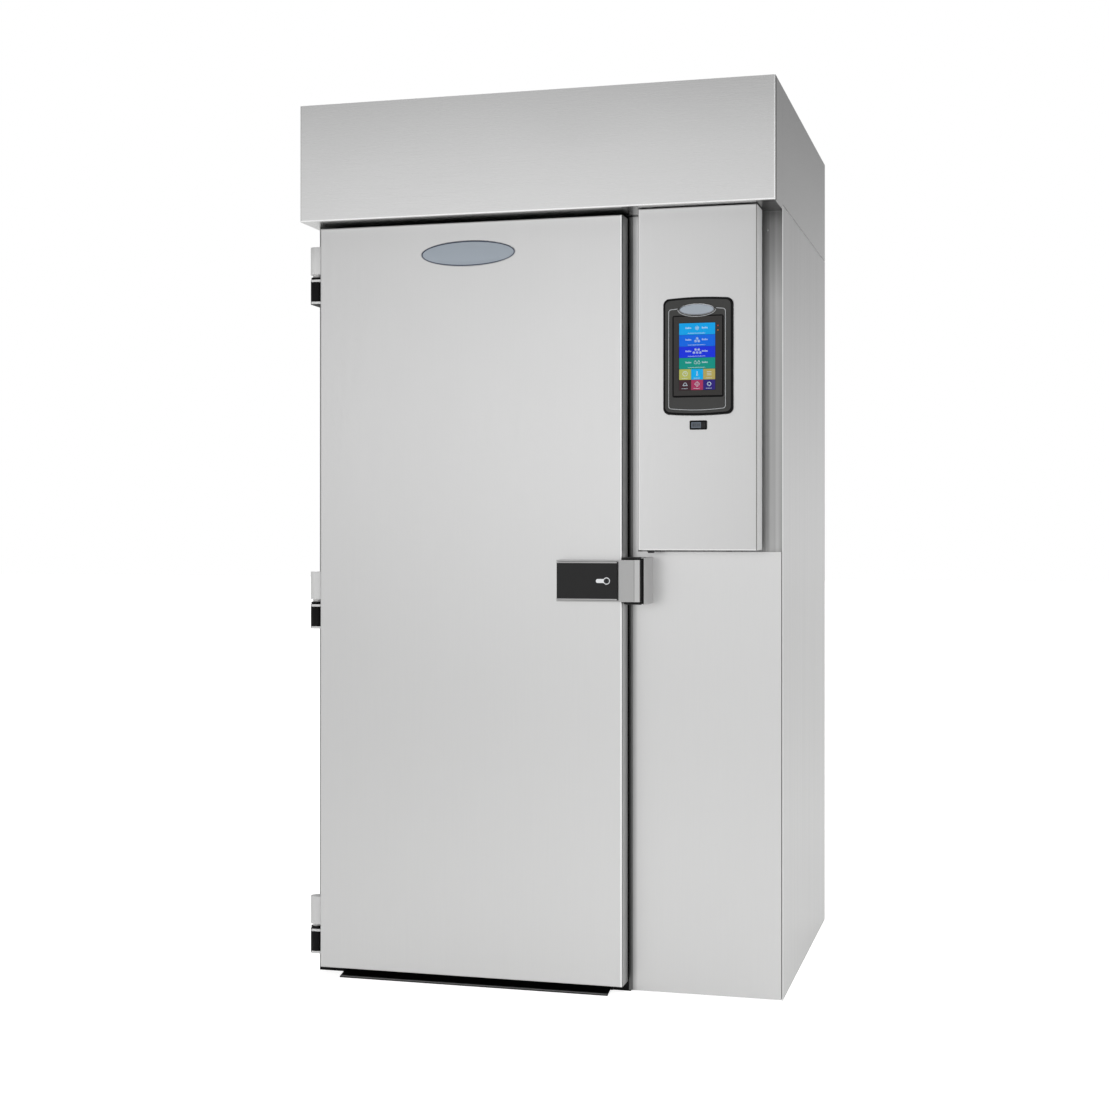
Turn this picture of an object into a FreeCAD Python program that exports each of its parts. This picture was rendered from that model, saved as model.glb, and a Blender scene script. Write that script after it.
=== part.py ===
"""A roll-in blast chiller: an insulated cabinet with a hood, one door, a latch and a control box.

Frame: millimetres, +Z up, X to the right seen from the front, Y to the back. The origin is on the
floor, at the centre of the cabinet's footprint, so the front of the body lies at Y = -depth / 2.
"""
import FreeCAD
import Part
import Sketcher
import math
import os
import re

from FreeCAD import Placement, Rotation, Vector

doc = FreeCAD.newDocument("BlastChiller")

# ---------------------------------------------------------------------------------------------
# Driving dimensions: one cell of the sheet each, in millimetres unless the name says otherwise.
# ---------------------------------------------------------------------------------------------
SIZES = {
    # cabinet
    "width": 1305,
    "depth": 1010,
    "height": 2400,
    "wall": 80,
    "sheet": 1.5,
    "floor_height": 18,
    "seam_gap": 2,
    "front_recess": 22,
    "stile_width": 86.5,
    "header_drop": 70,
    # lower cover beside the door, with the strip that runs up beside the control box
    "cover_inset": 50.6,
    "cover_foot": 3,
    "cover_box_gap": 4.5,
    "cover_bend": 4,
    "jamb_width": 18.4,
    # ramp in front of the sill
    "ramp_reach": 66,
    "ramp_lip": 3,
    "ramp_plate": 3,
    "ramp_play": 0.3,
    # hood
    "hood_overhang": 138,
    "hood_rise": 307,
    "hood_lap": 12,
    "hood_flange": 25,
    "hood_bend": 3,
    "brace_leg": 60,
    # door
    "door_proud": 85,
    "door_thickness": 68.6,
    "door_hinge_lap": 50,
    "door_latch_lap": 43.6,
    "door_bottom": 30,
    "door_top_gap": 10,
    "door_bend": 4,
    "plug_depth": 36,
    "plug_clearance": 10,
    "plug_bend": 12,
    "gasket_band": 30,
    "gasket_inset": 4,
    "gasket_play": 0.4,
    "sweep_gap": 2.3,
    # hinges, three alike
    "hinge_radius": 18,
    "hinge_out": 18.5,
    "hinge_forward": 60,
    "hinge_count": 3,
    "hinge_base": 65,
    "hinge_top_gap": 49,
    "hinge_cap": 67,
    "hinge_washer": 7,
    "hinge_collar": 7,
    "hinge_leaf": 76,
    "hinge_collar_radius": 12,
    "hinge_play": 0.3,
    "hinge_pin_radius": 6,
    "bore_play": 0.05,
    # latch on the door and strike beside it
    "latch_height": 1104,
    "latch_half": 55,
    "latch_reach_in": 170.7,
    "latch_proud": 118,
    "latch_rim": 3.5,
    "latch_floor": 110,
    "nose_reach": 57.8,
    "nose_gap": 6,
    "nose_front": 97,
    "nose_core_reach": 39.3,
    "nose_core_back": 34,
    "nose_chamfer": 8,
    "nose_chamfer_run": 18,
    "lever_thickness": 8,
    "lever_proud": 121,
    "lever_pin_inset": 10.7,
    "lever_pin_proud": 112,
    "lever_pin_radius": 2.5,
    "lever_knuckle": 5,
    "lever_edge": 2.5,
    "lever_clearance": 1,
    "tongue_half": 25,
    "tongue_front": 57,
    "tongue_back": 41,
    "tongue_length": 31,
    "tongue_reach": 41.5,
    "tongue_travel": 6,
    "tongue_nose": 5.6,
    "tongue_play": 0.4,
    "keeper_half": 40,
    "keeper_thickness": 26,
    "keeper_play": 0.7,
    "strike_sheet": 1.6,
    "strike_liner": 4.5,
    "strike_proud": 112,
    "strike_half": 61.5,
    "strike_left": 4,
    "strike_gap": 1.9,
    "lock_length": 38,
    "lock_radius": 9.2,
    "lock_tail_radius": 5.2,
    "lock_inset": 22.6,
    "lock_plug_radius": 7,
    "keyway_width": 1.6,
    "keyway_length": 8.4,
    "release_inset": 100,
    "release_rod_radius": 6,
    "release_knob_radius": 24,
    "release_knob_length": 30,
    "release_stand": 14,
    "release_dome": 8,
    # control box that swings out on two pivots
    "box_proud": 105,
    "box_depth": 85,
    "box_inset": 40.7,
    "box_right_gap": 51.4,
    "strike_head_gap": 19,
    "box_bend": 3,
    "pivot_inset": 25.6,
    "pivot_proud": 60,
    "pivot_radius": 5,
    "pivot_head_radius": 8.5,
    "pivot_arm": 3.5,
    "pivot_arm_width": 20,
    "bezel_width": 184,
    "bezel_height": 308,
    "bezel_drop": 236,
    "bezel_left_gap": 68.1,
    "bezel_thickness": 8,
    "bezel_corner": 14,
    "glass_width": 127,
    "glass_height": 205,
    "glass_rise": 52,
    "glass_thickness": 1.2,
    "module_depth": 42,
    "module_width": 150,
    "module_height": 250,
    "port_width": 46,
    "port_height": 24,
    "port_drop": 12.5,
    "port_proud": 3,
    "port_depth": 30,
    # electrical parts on the recessed face behind the control box
    "plate_thickness": 2,
    "plate_left_gap": 12,
    "plate_right_gap": 14,
    "plate_bottom_gap": 16,
    "plate_top_gap": 20,
    "contactor_count": 3,
    "contactor_width": 45,
    "contactor_height": 82,
    "contactor_depth": 62,
    "contactor_pitch": 58,
    "contactor_step": 25,
    "contactor_shelf": 18,
    "contactor_rise": 82,
    "terminal_count": 12,
    "terminal_width": 10,
    "terminal_height": 46,
    "terminal_depth": 40,
    "terminal_rise": 10,
    "board_rise": 246,
    "board_width": 150,
    "board_height": 210,
    "board_stand": 10,
    "board_thickness": 2,
    "stud_radius": 3,
    "stud_inset": 8,
    "relay_count": 4,
    "relay_pitch": 30,
    "relay_width": 20,
    "relay_depth": 16,
    "relay_height": 28,
    "transformer_rise": 497,
    "transformer_width": 84,
    "transformer_height": 72,
    "transformer_depth": 58,
    "winding_inset": 17,
    "winding_proud": 9,
    # fan wall
    "fan_wall_gap": 19,
    "fan_wall_foot": 42,
    "fan_wall_head": 40,
    "fan_wall_flange": 25,
    "fan_count": 3,
    "fan_bottom_margin": 360,
    "fan_top_margin": 393,
    "fan_hole_radius": 205,
    "fan_tip_radius": 192,
    "fan_hub_radius": 55,
    "fan_hub_length": 46,
    "fan_set_back": 14,
    "fan_blades": 5,
    "fan_blade_sink": 4,
    "fan_root_chord": 72,
    "fan_tip_chord": 118,
    "fan_root_pitch_deg": 44,
    "fan_tip_pitch_deg": 24,
    "fan_blade_thickness": 3,
    "fan_camber": 9,
    "fan_hub_round": 12,
    "fan_shaft_radius": 6,
    "shaft_play": 2,
    "shroud_depth": 62,
    "shroud_sheet": 2,
    "motor_radius": 60,
    "motor_length": 96,
    "motor_bore": 32,
    "motor_round": 9,
    "motor_gap": 14,
    "strap_width": 40,
    "strap_thickness": 4,
    "strap_clearance": 4,
    "guard_wire": 4,
    "guard_rings": 3,
    "guard_proud": 8,
    # coil
    "coil_clearance": 42,
    "coil_gap": 30,
    "coil_depth": 110,
    "coil_bottom": 190,
    "coil_head_gap": 173,
    "coil_side_gap": 45,
    "coil_core": 40,
    "fin_pitch": 20,
    "fin_thickness": 3,
    "coil_plate": 3,
    "bend_radius": 15,
    "tube_radius": 6,
    "bend_rows": 8,
    "bend_stagger": 20,
    # pan and pipes
    "pan_height": 40,
    "pan_drop": 60,
    "pan_margin": 12,
    "drain_radius": 13,
    "drain_wall": 2,
    "drain_stub": 35,
    "suction_radius": 14.3,
    "liquid_radius": 8,
    "pipe_wall": 1.2,
    "stub_drop": 60,
    "stub_length": 80,
    "bead_reach": 3,
    "bead_height": 4,
    "suction_inset": 46,
    "liquid_inset": 46,
    "pipe_back": 60,
    "liquid_back": 150,
    "valve_radius": 19,
    "valve_height": 60,
    "valve_step": 4,
    "valve_reach": 46,
    "magnet_length": 30,
    "valve_rise": 87,
    "expansion_rise": 60,
    "roof_box_width": 220,
    "roof_box_depth": 160,
    "roof_box_height": 110,
    "roof_box_inset": 372.5,
    "roof_box_back": 150,
    "entry_radius": 14.2,
    # rails that keep the rack off the walls
    "rail_count": 3,
    "rail_height": 90,
    "rail_thickness": 18,
    "rail_level": 260,
    "rail_head_gap": 423,
}

# ---------------------------------------------------------------------------------------------
# Places worked out from the driving dimensions. "front" is the front plane of the body, and a
# distance ahead of it is taken off, because Y grows to the back.
# ---------------------------------------------------------------------------------------------
PLACES = {
    "left": "-width / 2",
    "right": "width / 2",
    "front": "-depth / 2",
    "back": "depth / 2",
    "recess": "front + front_recess",
    "skin_left": "left + sheet",
    "skin_right": "right - sheet",
    "skin_back": "back - sheet",
    "inner_left": "left + wall",
    "inner_right": "right - wall",
    "inner_front": "recess + wall",
    "inner_back": "back - wall",
    "seam_height": "height - hood_rise",
    "ceiling": "seam_height - wall",
    "fan_space": "fan_wall_gap + sheet + fan_set_back + fan_hub_length + motor_gap",
    "motor_space": "strap_thickness + motor_length + coil_clearance",
    "machine_width": "fan_space + motor_space + coil_depth + coil_gap + wall",
    "opening_left": "left + stile_width",
    "opening_right": "right - machine_width",
    "opening_top": "ceiling - header_drop",
    "cover_left": "opening_right + cover_inset",
    "cover_right": "skin_right - seam_gap",
    "hood_bottom": "seam_height - hood_lap",
    "trim_top": "hood_bottom - seam_gap",
    "hood_front": "front - hood_overhang",
    "door_top": "hood_bottom - door_top_gap",
    "door_left": "opening_left - door_hinge_lap",
    "door_right": "opening_right + door_latch_lap",
    "door_front": "front - door_proud",
    "door_back": "door_front + door_thickness",
    "plug_left": "opening_left + plug_clearance",
    "plug_right": "opening_right - plug_clearance",
    "plug_top": "opening_top - plug_clearance",
    "hinge_x": "door_left - hinge_out",
    "hinge_y": "front - hinge_forward",
    "hinge_stack": "hinge_cap + hinge_washer + hinge_collar + hinge_leaf",
    "hinge_pitch": "(door_top - hinge_top_gap - hinge_stack - hinge_base) / (hinge_count - 1)",
    "latch_low": "latch_height - latch_half",
    "latch_high": "latch_height + latch_half",
    "latch_left": "door_right - latch_reach_in",
    "nose_end": "door_right + nose_reach",
    "nose_core_end": "door_right + nose_core_reach",
    "lever_x": "door_right - lever_pin_inset",
    "lever_y": "front - lever_pin_proud",
    "lever_end": "lever_x + lever_knuckle",
    "tongue_end": "door_right + tongue_reach",
    "strike_inner": "nose_end + strike_gap",
    "strike_right": "strike_inner + strike_liner + strike_sheet",
    "strike_low": "latch_height - strike_half",
    "strike_high": "latch_height + strike_half",
    "strike_x": "cover_left + strike_left",
    "lock_x": "lever_x - lock_inset",
    "release_x": "door_right - release_inset",
    "box_front": "front - box_proud",
    "box_back": "box_front + box_depth",
    "box_left": "cover_left + box_inset",
    "box_bottom": "strike_high + strike_head_gap",
    "box_top": "hood_bottom - seam_gap",
    "cover_top": "box_bottom - cover_box_gap",
    "box_right": "right - box_right_gap",
    "pivot_x": "box_left + pivot_inset",
    "pivot_y": "front - pivot_proud",
    "bezel_left": "box_left + bezel_left_gap",
    "bezel_right": "bezel_left + bezel_width",
    "bezel_middle": "bezel_left + bezel_width / 2",
    "bezel_front": "box_front - bezel_thickness",
    "bezel_bottom": "box_top - bezel_drop - bezel_height",
    "port_top": "bezel_bottom - port_drop",
    "plate_left": "box_left + plate_left_gap",
    "plate_right": "box_right - plate_right_gap",
    "plate_bottom": "box_bottom + plate_bottom_gap",
    "plate_front": "recess - plate_thickness",
    "mount_edge": "plate_right - plate_left_gap",
    "contactor_low": "plate_bottom + contactor_rise",
    "terminal_low": "plate_bottom + terminal_rise",
    "board_low": "plate_bottom + board_rise",
    "iron_low": "plate_bottom + transformer_rise",
    "fan_wall_x": "opening_right + fan_wall_gap",
    "fan_wall_back": "fan_wall_x + sheet",
    "fan_wall_bottom": "floor_height + fan_wall_foot",
    "fan_wall_top": "ceiling - fan_wall_head",
    "fan_y": "(inner_front + inner_back) / 2",
    "fan_base": "fan_wall_bottom + fan_bottom_margin",
    "fan_pitch": "(fan_wall_top - fan_top_margin - fan_base) / (fan_count - 1)",
    "rotor_x": "fan_wall_back + fan_set_back",
    "rotor_back": "rotor_x + fan_hub_length",
    "strap_x": "rotor_back + motor_gap",
    "motor_x": "strap_x + strap_thickness",
    "coil_x": "inner_right - coil_gap - coil_depth",
    "coil_right": "inner_right - coil_gap",
    "coil_front": "inner_front + coil_side_gap",
    "coil_back": "inner_back - coil_side_gap",
    "coil_top": "ceiling - coil_head_gap",
    "pan_bottom": "coil_bottom - pan_drop",
    "suction_x": "inner_right - suction_inset",
    "suction_y": "inner_back - pipe_back",
    "liquid_x": "inner_right - liquid_inset",
    "liquid_y": "inner_back - liquid_back",
    "stub_top": "height - stub_drop",
    "bead_top": "stub_top - stub_length",
    "valve_level": "seam_height + valve_rise",
    "expansion_level": "coil_top + expansion_rise",
    "drain_x": "coil_x + coil_depth / 2",
    "drain_z": "pan_bottom + drain_radius + drain_wall",
    "roof_box_left": "right - roof_box_inset - roof_box_width",
    "roof_box_y": "back - roof_box_back - roof_box_depth",
    "rail_pitch": "(ceiling - rail_head_gap - rail_height - rail_level) / (rail_count - 1)",
}

sheet = doc.addObject("Spreadsheet::Sheet", "Sizes")
for row, (alias, number) in enumerate(SIZES.items(), start=1):
    sheet.set(f"A{row}", alias)
    sheet.set(f"B{row}", str(number))
    sheet.setAlias(f"B{row}", alias)
places = doc.addObject("App::VarSet", "Places")
for word in PLACES:
    places.addProperty("App::PropertyFloat", word)
doc.recompute()


def linked(text):
    """The expression with each bare name led to its cell or to its worked-out place."""
    def owned(found):
        word = found.group()
        if word in SIZES:
            return "Sizes." + word
        if word in PLACES:
            return "Places." + word
        return word
    return re.sub(r"[a-z][a-z_]*", owned, text)


for word, text in PLACES.items():
    places.setExpression(word, linked(text))
doc.recompute()


def at(word):
    """The present value of a cell or of a place."""
    if word in PLACES:
        return float(places.getPropertyByName(word))
    return float(sheet.get(word))


parts = {}
helpers = {"count": 0}


def helper_name(base):
    """A name of its own for a step on the way to a piece."""
    helpers["count"] += 1
    return f"{base}_{helpers['count']}"


def keep(label, piece):
    """Names a finished piece, which is written to its own file."""
    piece.Label = label
    parts[label] = piece
    return piece


def block(x, y, z):
    """A box between two expressions along each axis."""
    piece = doc.addObject("Part::Box", helper_name("block"))
    for side, (low, high) in zip(("Length", "Width", "Height"), (x, y, z)):
        piece.setExpression(side, linked(f"({high}) - ({low})"))
    for axis, (low, _) in zip("xyz", (x, y, z)):
        piece.setExpression(f".Placement.Base.{axis}", linked(low))
    return piece


TURNS = {
    "x": Rotation(Vector(0, 1, 0), 90),
    "y": Rotation(Vector(1, 0, 0), -90),
    "z": Rotation(),
}


def drum(axis, centre, radius, low, high):
    """A cylinder along an axis, from low to high; centre gives the other two coordinates."""
    piece = doc.addObject("Part::Cylinder", helper_name("drum"))
    piece.Placement = Placement(Vector(), TURNS[axis])
    piece.setExpression("Radius", linked(radius))
    piece.setExpression("Height", linked(f"({high}) - ({low})"))
    others = [name for name in "xyz" if name != axis]
    piece.setExpression(f".Placement.Base.{axis}", linked(low))
    for name, text in zip(others, centre):
        piece.setExpression(f".Placement.Base.{name}", linked(text))
    return piece


def fused(*pieces):
    """One solid of several that overlap or meet."""
    piece = doc.addObject("Part::MultiFuse", helper_name("fused"))
    piece.Shapes = list(pieces)
    piece.Refine = True
    return piece


def less(base, *tools):
    """The base with every tool cut out of it."""
    piece = doc.addObject("Part::Cut", helper_name("cut"))
    piece.Base = base
    piece.Tool = tools[0] if len(tools) == 1 else together(*tools)
    piece.Refine = True
    return piece


def together(*pieces):
    """A group of separate solids."""
    piece = doc.addObject("Part::Compound", helper_name("group"))
    piece.Links = list(pieces)
    return piece


def rounded(base, radius, chosen):
    """The base with the chosen edges filleted; chosen gets an edge's centre and its direction."""
    doc.recompute()
    picked = []
    for number, edge in enumerate(base.Shape.Edges, start=1):
        along = ""
        if len(edge.Vertexes) == 2:
            run = edge.Vertexes[1].Point - edge.Vertexes[0].Point
            along = "xyz"[max(range(3), key=lambda axis: abs(run[axis]))]
        if chosen(edge.CenterOfMass, along):
            picked.append((number, radius, radius))
    piece = doc.addObject("Part::Fillet", helper_name("rounded"))
    piece.Base = base
    piece.Edges = picked
    return piece


def near(one, other):
    """True where two coordinates are the same plane."""
    return abs(one - other) < 0.01


def shaped(shape):
    """A piece whose shape no primitive or boolean gives."""
    piece = doc.addObject("Part::Feature", helper_name("shape"))
    piece.Shape = shape
    return piece


def sketched(plane, outline, low, high):
    """A padded sketch: a closed outline of (across, up) expressions, from low to high."""
    body = doc.addObject("PartDesign::Body", helper_name("body"))
    sketch = body.newObject("Sketcher::SketchObject", helper_name("outline"))
    role = {"yz": "YZ_Plane", "xy": "XY_Plane", "xz": "XZ_Plane"}[plane]
    home = [item for item in body.Origin.OriginFeatures if item.Role == role][0]
    sketch.AttachmentSupport = [(home, "")]
    sketch.MapMode = "FlatFace"
    start = low if plane != "xz" else f"-({high})"
    sketch.setExpression(".AttachmentOffset.Base.z", linked(start))
    count = len(outline)
    doc.recompute()
    scratch = [Vector(10.0 * math.cos(2 * math.pi * turn / count),
                      10.0 * math.sin(2 * math.pi * turn / count), 0) for turn in range(count)]
    for number in range(count):
        line = Part.LineSegment(scratch[number], scratch[(number + 1) % count])
        sketch.addGeometry(line, False)
    for number in range(count):
        joint = Sketcher.Constraint("Coincident", number, 2, (number + 1) % count, 1)
        sketch.addConstraint(joint)
    for number, (across, up) in enumerate(outline):
        spot = scratch[number]
        for kind, text, value in (("DistanceX", across, spot.x), ("DistanceY", up, spot.y)):
            index = sketch.addConstraint(Sketcher.Constraint(kind, -1, 1, number, 1, value))
            sketch.setExpression(f"Constraints[{index}]", linked(text))
    pad = body.newObject("PartDesign::Pad", helper_name("pad"))
    pad.Profile = sketch
    pad.setExpression("Length", linked(f"({high}) - ({low})"))
    body.Tip = pad
    return body


def tray(x, y, z, wall, open_side, bend, outer_edges):
    """A folded sheet tray: a box, bent at the chosen edges, hollowed out through one side."""
    shell = rounded(block(x, y, z), bend, outer_edges) if outer_edges else block(x, y, z)
    spans = {"x": list(x), "y": list(y), "z": list(z)}
    for axis, span in spans.items():
        span[0] = f"({span[0]}) + {wall}"
        span[1] = f"({span[1]}) - {wall}"
    axis, side = open_side[0], open_side[1]
    full = {"x": x, "y": y, "z": z}[axis]
    spans[axis][0 if side == "-" else 1] = f"({full[0]}) - 1" if side == "-" else f"({full[1]}) + 1"
    return less(shell, block(spans["x"], spans["y"], spans["z"]))


# ---------------------------------------------------------------------------------------------
# Insulated panels and outer skins
# ---------------------------------------------------------------------------------------------
COLUMN_X = ("opening_right", "skin_right")
COLUMN_Y = ("recess", "inner_front")


def cabinet_panels():
    """The foamed panels, which stand on the floor panel and carry the ceiling panel."""
    core = ("floor_height", "ceiling")
    full = ("skin_left", "skin_right")
    keep("floor_panel", block(full, ("recess", "skin_back"), ("0", "floor_height")))
    keep("left_wall_panel", block(("skin_left", "inner_left"), ("recess", "inner_back"), core))
    keep("right_wall_panel", block(("inner_right", "skin_right"), ("inner_front", "inner_back"), core))
    rear = block(full, ("inner_back", "skin_back"), core)
    drain = drum("y", ("drain_x", "drain_z"), "drain_radius", "inner_back - 1", "skin_back + 1")
    keep("rear_wall_panel", less(rear, drain))
    header_up = ("opening_top", "ceiling")
    keep("header_panel", block(("inner_left", "opening_right"), ("recess", "inner_front"), header_up))
    keep("column_panel", block(COLUMN_X, COLUMN_Y, ("floor_height", "seam_height")))


def ceiling_panel():
    """The ceiling, cut away for the column, with a hole for each pipe."""
    slab = block(("skin_left", "skin_right"), ("recess", "skin_back"), ("ceiling", "seam_height"))
    span = ("ceiling - 1", "seam_height + 1")
    suction = drum("z", ("suction_x", "suction_y"), "suction_radius", *span)
    liquid = drum("z", ("liquid_x", "liquid_y"), "liquid_radius", *span)
    column = block(("opening_right", "skin_right + 1"), ("recess - 1", "inner_front"), span)
    keep("ceiling_panel", less(slab, suction, liquid, column))


def skins():
    """The outer sheets of the sides and the back, up to the seam below the hood."""
    up = ("0", "seam_height - seam_gap")
    for label, x in (("left_side_skin", ("left", "skin_left")), ("right_side_skin", ("skin_right", "right"))):
        keep(label, block(x, ("front", "back"), up))
    sheet_back = block(("skin_left", "skin_right"), ("skin_back", "back"), up)
    hole = drum("y", ("drain_x", "drain_z"), "drain_radius", "skin_back - 1", "back + 1")
    keep("rear_skin", less(sheet_back, hole))


def front_trim():
    """The thermal breaker round the doorway, the sill, the ramp and the cover beside the door."""
    y = ("front", "recess")
    portal = block(("skin_left", "cover_left - seam_gap"), y, ("0", "trim_top"))
    doorway = block(("opening_left", "opening_right"), ("front - 1", "recess + 1"), ("-1", "opening_top"))
    keep("door_frame_breaker", less(portal, doorway))
    keep("threshold_sill", block(("opening_left", "opening_right"), y, ("0", "floor_height")))

    toe = "front - ramp_reach"
    heel = "front - ramp_play"
    slope = "(floor_height - ramp_lip) / ramp_reach"
    ramp = [
        (toe, "0"),
        (toe, "ramp_lip"),
        (heel, "floor_height"),
        (heel, "0"),
        (f"{heel} - ramp_plate", "0"),
        (f"{heel} - ramp_plate", f"floor_height - ramp_plate - {slope} * ramp_plate"),
        (f"{toe} + ramp_plate", "ramp_lip / 2"),
        (f"{toe} + ramp_plate", "0"),
    ]
    keep("entry_ramp", sketched("yz", ramp, "opening_left + ramp_play", "opening_right - ramp_play"))

    low = block(("cover_left", "cover_right"), y, ("cover_foot", "cover_top"))
    strip = block(("cover_left", "cover_left + jamb_width"), y, ("cover_top - jamb_width", "trim_top"))
    inside = ("front + sheet", "recess + 1")
    low_hollow = block(("cover_left + sheet", "cover_right - sheet"), inside,
                       ("cover_foot + sheet", "cover_top - sheet"))
    strip_hollow = block(("cover_left + sheet", "cover_left + jamb_width - sheet"), inside,
                         ("cover_top - 2 * jamb_width", "trim_top - sheet"))

    def bend(depth):
        return lambda middle, along: (along == "z" and near(middle.x, at("cover_left") + depth)
                                      and near(middle.y, at("front") + depth))

    cover = rounded(fused(low, strip), at("cover_bend"), bend(0))
    hollow = rounded(fused(low_hollow, strip_hollow), at("cover_bend") - at("sheet"), bend(at("sheet")))
    keep("column_cover", less(cover, hollow))


# ---------------------------------------------------------------------------------------------
# Hood, open at the top and the back
# ---------------------------------------------------------------------------------------------
def hood():
    """The fascia folds back at both sides and below; the side panels stand on the ceiling."""
    x = ("left", "right")
    y = ("hood_front", "front - seam_gap / 2")
    z = ("hood_bottom", "height")
    low, ahead = at("hood_bottom"), at("hood_front")

    def folds(middle, along):
        at_front = near(middle.y, ahead)
        at_side = near(abs(middle.x), at("right"))
        at_low = near(middle.z, low)
        return (at_front and at_side) or (at_front and at_low) or (at_side and at_low)

    shell = rounded(block(x, y, z), at("hood_bend"), folds)
    inner = block(("skin_left", "skin_right"), ("hood_front + sheet", "front + 1"),
                  ("hood_bottom + sheet", "height - sheet"))
    mouth = block(("left + hood_flange", "right - hood_flange"),
                  ("hood_front + hood_flange", "front + 1"), ("height - sheet - 1", "height + 1"))
    floor = block(("skin_left", "skin_right"), ("front - seam_gap", "recess"),
                  ("hood_bottom", "hood_bottom + sheet"))
    upstand = block(("skin_left", "skin_right"), ("recess - sheet", "recess"),
                    ("hood_bottom", "seam_height"))
    pin = drum("z", ("pivot_x", "pivot_y"), "pivot_radius", "hood_bottom - 1", "hood_bottom + sheet + 1")
    keep("hood_fascia", less(fused(less(shell, inner, mouth), floor, upstand), pin))

    up = ("seam_height", "height")
    y = ("front", "back")
    for label, edge, skin, turn in (("hood_left_panel", "left", "skin_left", "left + hood_flange"),
                                    ("hood_right_panel", "right", "skin_right", "right - hood_flange")):
        span = (edge, skin) if edge == "left" else (skin, edge)
        lip = (edge, turn) if edge == "left" else (turn, edge)
        web = block(span, y, up)
        top = block(lip, y, ("height - sheet", "height"))
        foot = block(lip, y, ("seam_height", "seam_height + sheet"))
        keep(label, fused(web, top, foot))
    x = ("skin_left", "skin_right")
    leg = block(x, ("back - sheet", "back"), ("height - brace_leg", "height - sheet"))
    arm = block(x, ("back - brace_leg", "back"), ("height - 2 * sheet", "height - sheet"))
    keep("hood_rear_brace", fused(leg, arm))


# ---------------------------------------------------------------------------------------------
# Door
# ---------------------------------------------------------------------------------------------
def door():
    """A folded outer skin, its foam, the inner liner with its plug, the gasket and the sweep."""
    x = ("door_left", "door_right")
    z = ("door_bottom", "door_top")
    inside_x = ("door_left + sheet", "door_right - sheet")
    inside_z = ("door_bottom + sheet", "door_top - sheet")
    ahead = at("door_front")
    rod = drum("y", ("release_x", "latch_height"), "release_rod_radius + bore_play",
               "door_front - 1", "door_back + plug_depth + 1")
    skin = tray(x, ("door_front", "door_back"), z, "sheet", "y+", at("door_bend"),
                lambda middle, along: near(middle.y, ahead))
    keep("door_skin", less(skin, rod))
    foam = block(inside_x, ("door_front + sheet", "door_back - sheet"), inside_z)
    keep("door_foam", less(foam, rod))

    plate = block(inside_x, ("door_back - sheet", "door_back"), inside_z)
    behind = at("door_back") + at("plug_depth")
    plug = rounded(
        block(("plug_left", "plug_right"), ("door_back - sheet", "door_back + plug_depth"),
              ("door_bottom + plug_clearance", "plug_top")),
        at("plug_bend"), lambda middle, along: near(middle.y, behind))
    keep("door_liner", less(fused(plate, plug), rod))

    y = ("door_back", "front - gasket_play")
    inner = ("opening_left - gasket_inset", "opening_right + gasket_inset")
    outer = (f"{inner[0]} - gasket_band", f"{inner[1]} + gasket_band")
    foot = "door_bottom + gasket_inset"
    ring = block(outer, y, (foot, "opening_top + gasket_inset + gasket_band"))
    hole = block(inner, ("door_back - 1", "front + 1"), ("0", "opening_top + gasket_inset"))
    sweep = block(("plug_left", "plug_right"), ("door_back", "front - gasket_play"),
                  ("floor_height + sweep_gap", "door_bottom + plug_clearance - gasket_play"))
    keep("door_seals", together(less(ring, hole), sweep))


def hinges():
    """Three lift-off hinges: a black arm on the frame, a washer, a collar and a leaf on the door."""
    arms, pins, washers, collars, leaves = [], [], [], [], []
    centre = ("hinge_x", "hinge_y")
    for number in range(int(at("hinge_count"))):
        base = f"hinge_base + {number} * hinge_pitch"
        cap_top = f"{base} + hinge_cap"
        washer_top = f"{cap_top} + hinge_washer"
        collar_top = f"{washer_top} + hinge_play + hinge_collar"
        leaf_top = f"{collar_top} + hinge_leaf"
        pin_top = f"{leaf_top} - hinge_pin_radius"
        pin_foot = f"{base} + hinge_pin_radius"
        barrel = drum("z", centre, "hinge_radius", base, cap_top)
        arm = block(("hinge_x - hinge_radius", "hinge_x + hinge_radius - sheet"),
                    ("hinge_y", "front"), (base, cap_top))
        socket = drum("z", centre, "hinge_pin_radius", pin_foot, f"{cap_top} + 1")
        arms.append(less(fused(barrel, arm), socket))
        pins.append(drum("z", centre, "hinge_pin_radius", pin_foot, pin_top))
        bored = drum("z", centre, "hinge_pin_radius", f"{cap_top} - 1", f"{washer_top} + 1")
        washers.append(less(drum("z", centre, "hinge_radius - sheet", cap_top, washer_top), bored))
        running = "hinge_pin_radius + bore_play"
        eye = drum("z", centre, running, f"{washer_top} - 1", f"{collar_top} + 1")
        collars.append(less(drum("z", centre, "hinge_collar_radius", f"{washer_top} + hinge_play",
                                 collar_top), eye))
        knuckle = drum("z", centre, "hinge_radius", collar_top, leaf_top)
        wing = block(("hinge_x", "door_left"), ("hinge_y - hinge_radius", "hinge_y + hinge_radius"),
                     (collar_top, leaf_top))
        bore = drum("z", centre, running, f"{collar_top} - 1", f"{pin_top} + hinge_play")
        leaves.append(less(fused(knuckle, wing), bore))
    keep("hinge_arms", together(*arms))
    keep("hinge_pins", together(*pins, *washers))
    keep("hinge_leaves", together(*leaves, *collars))


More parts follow.
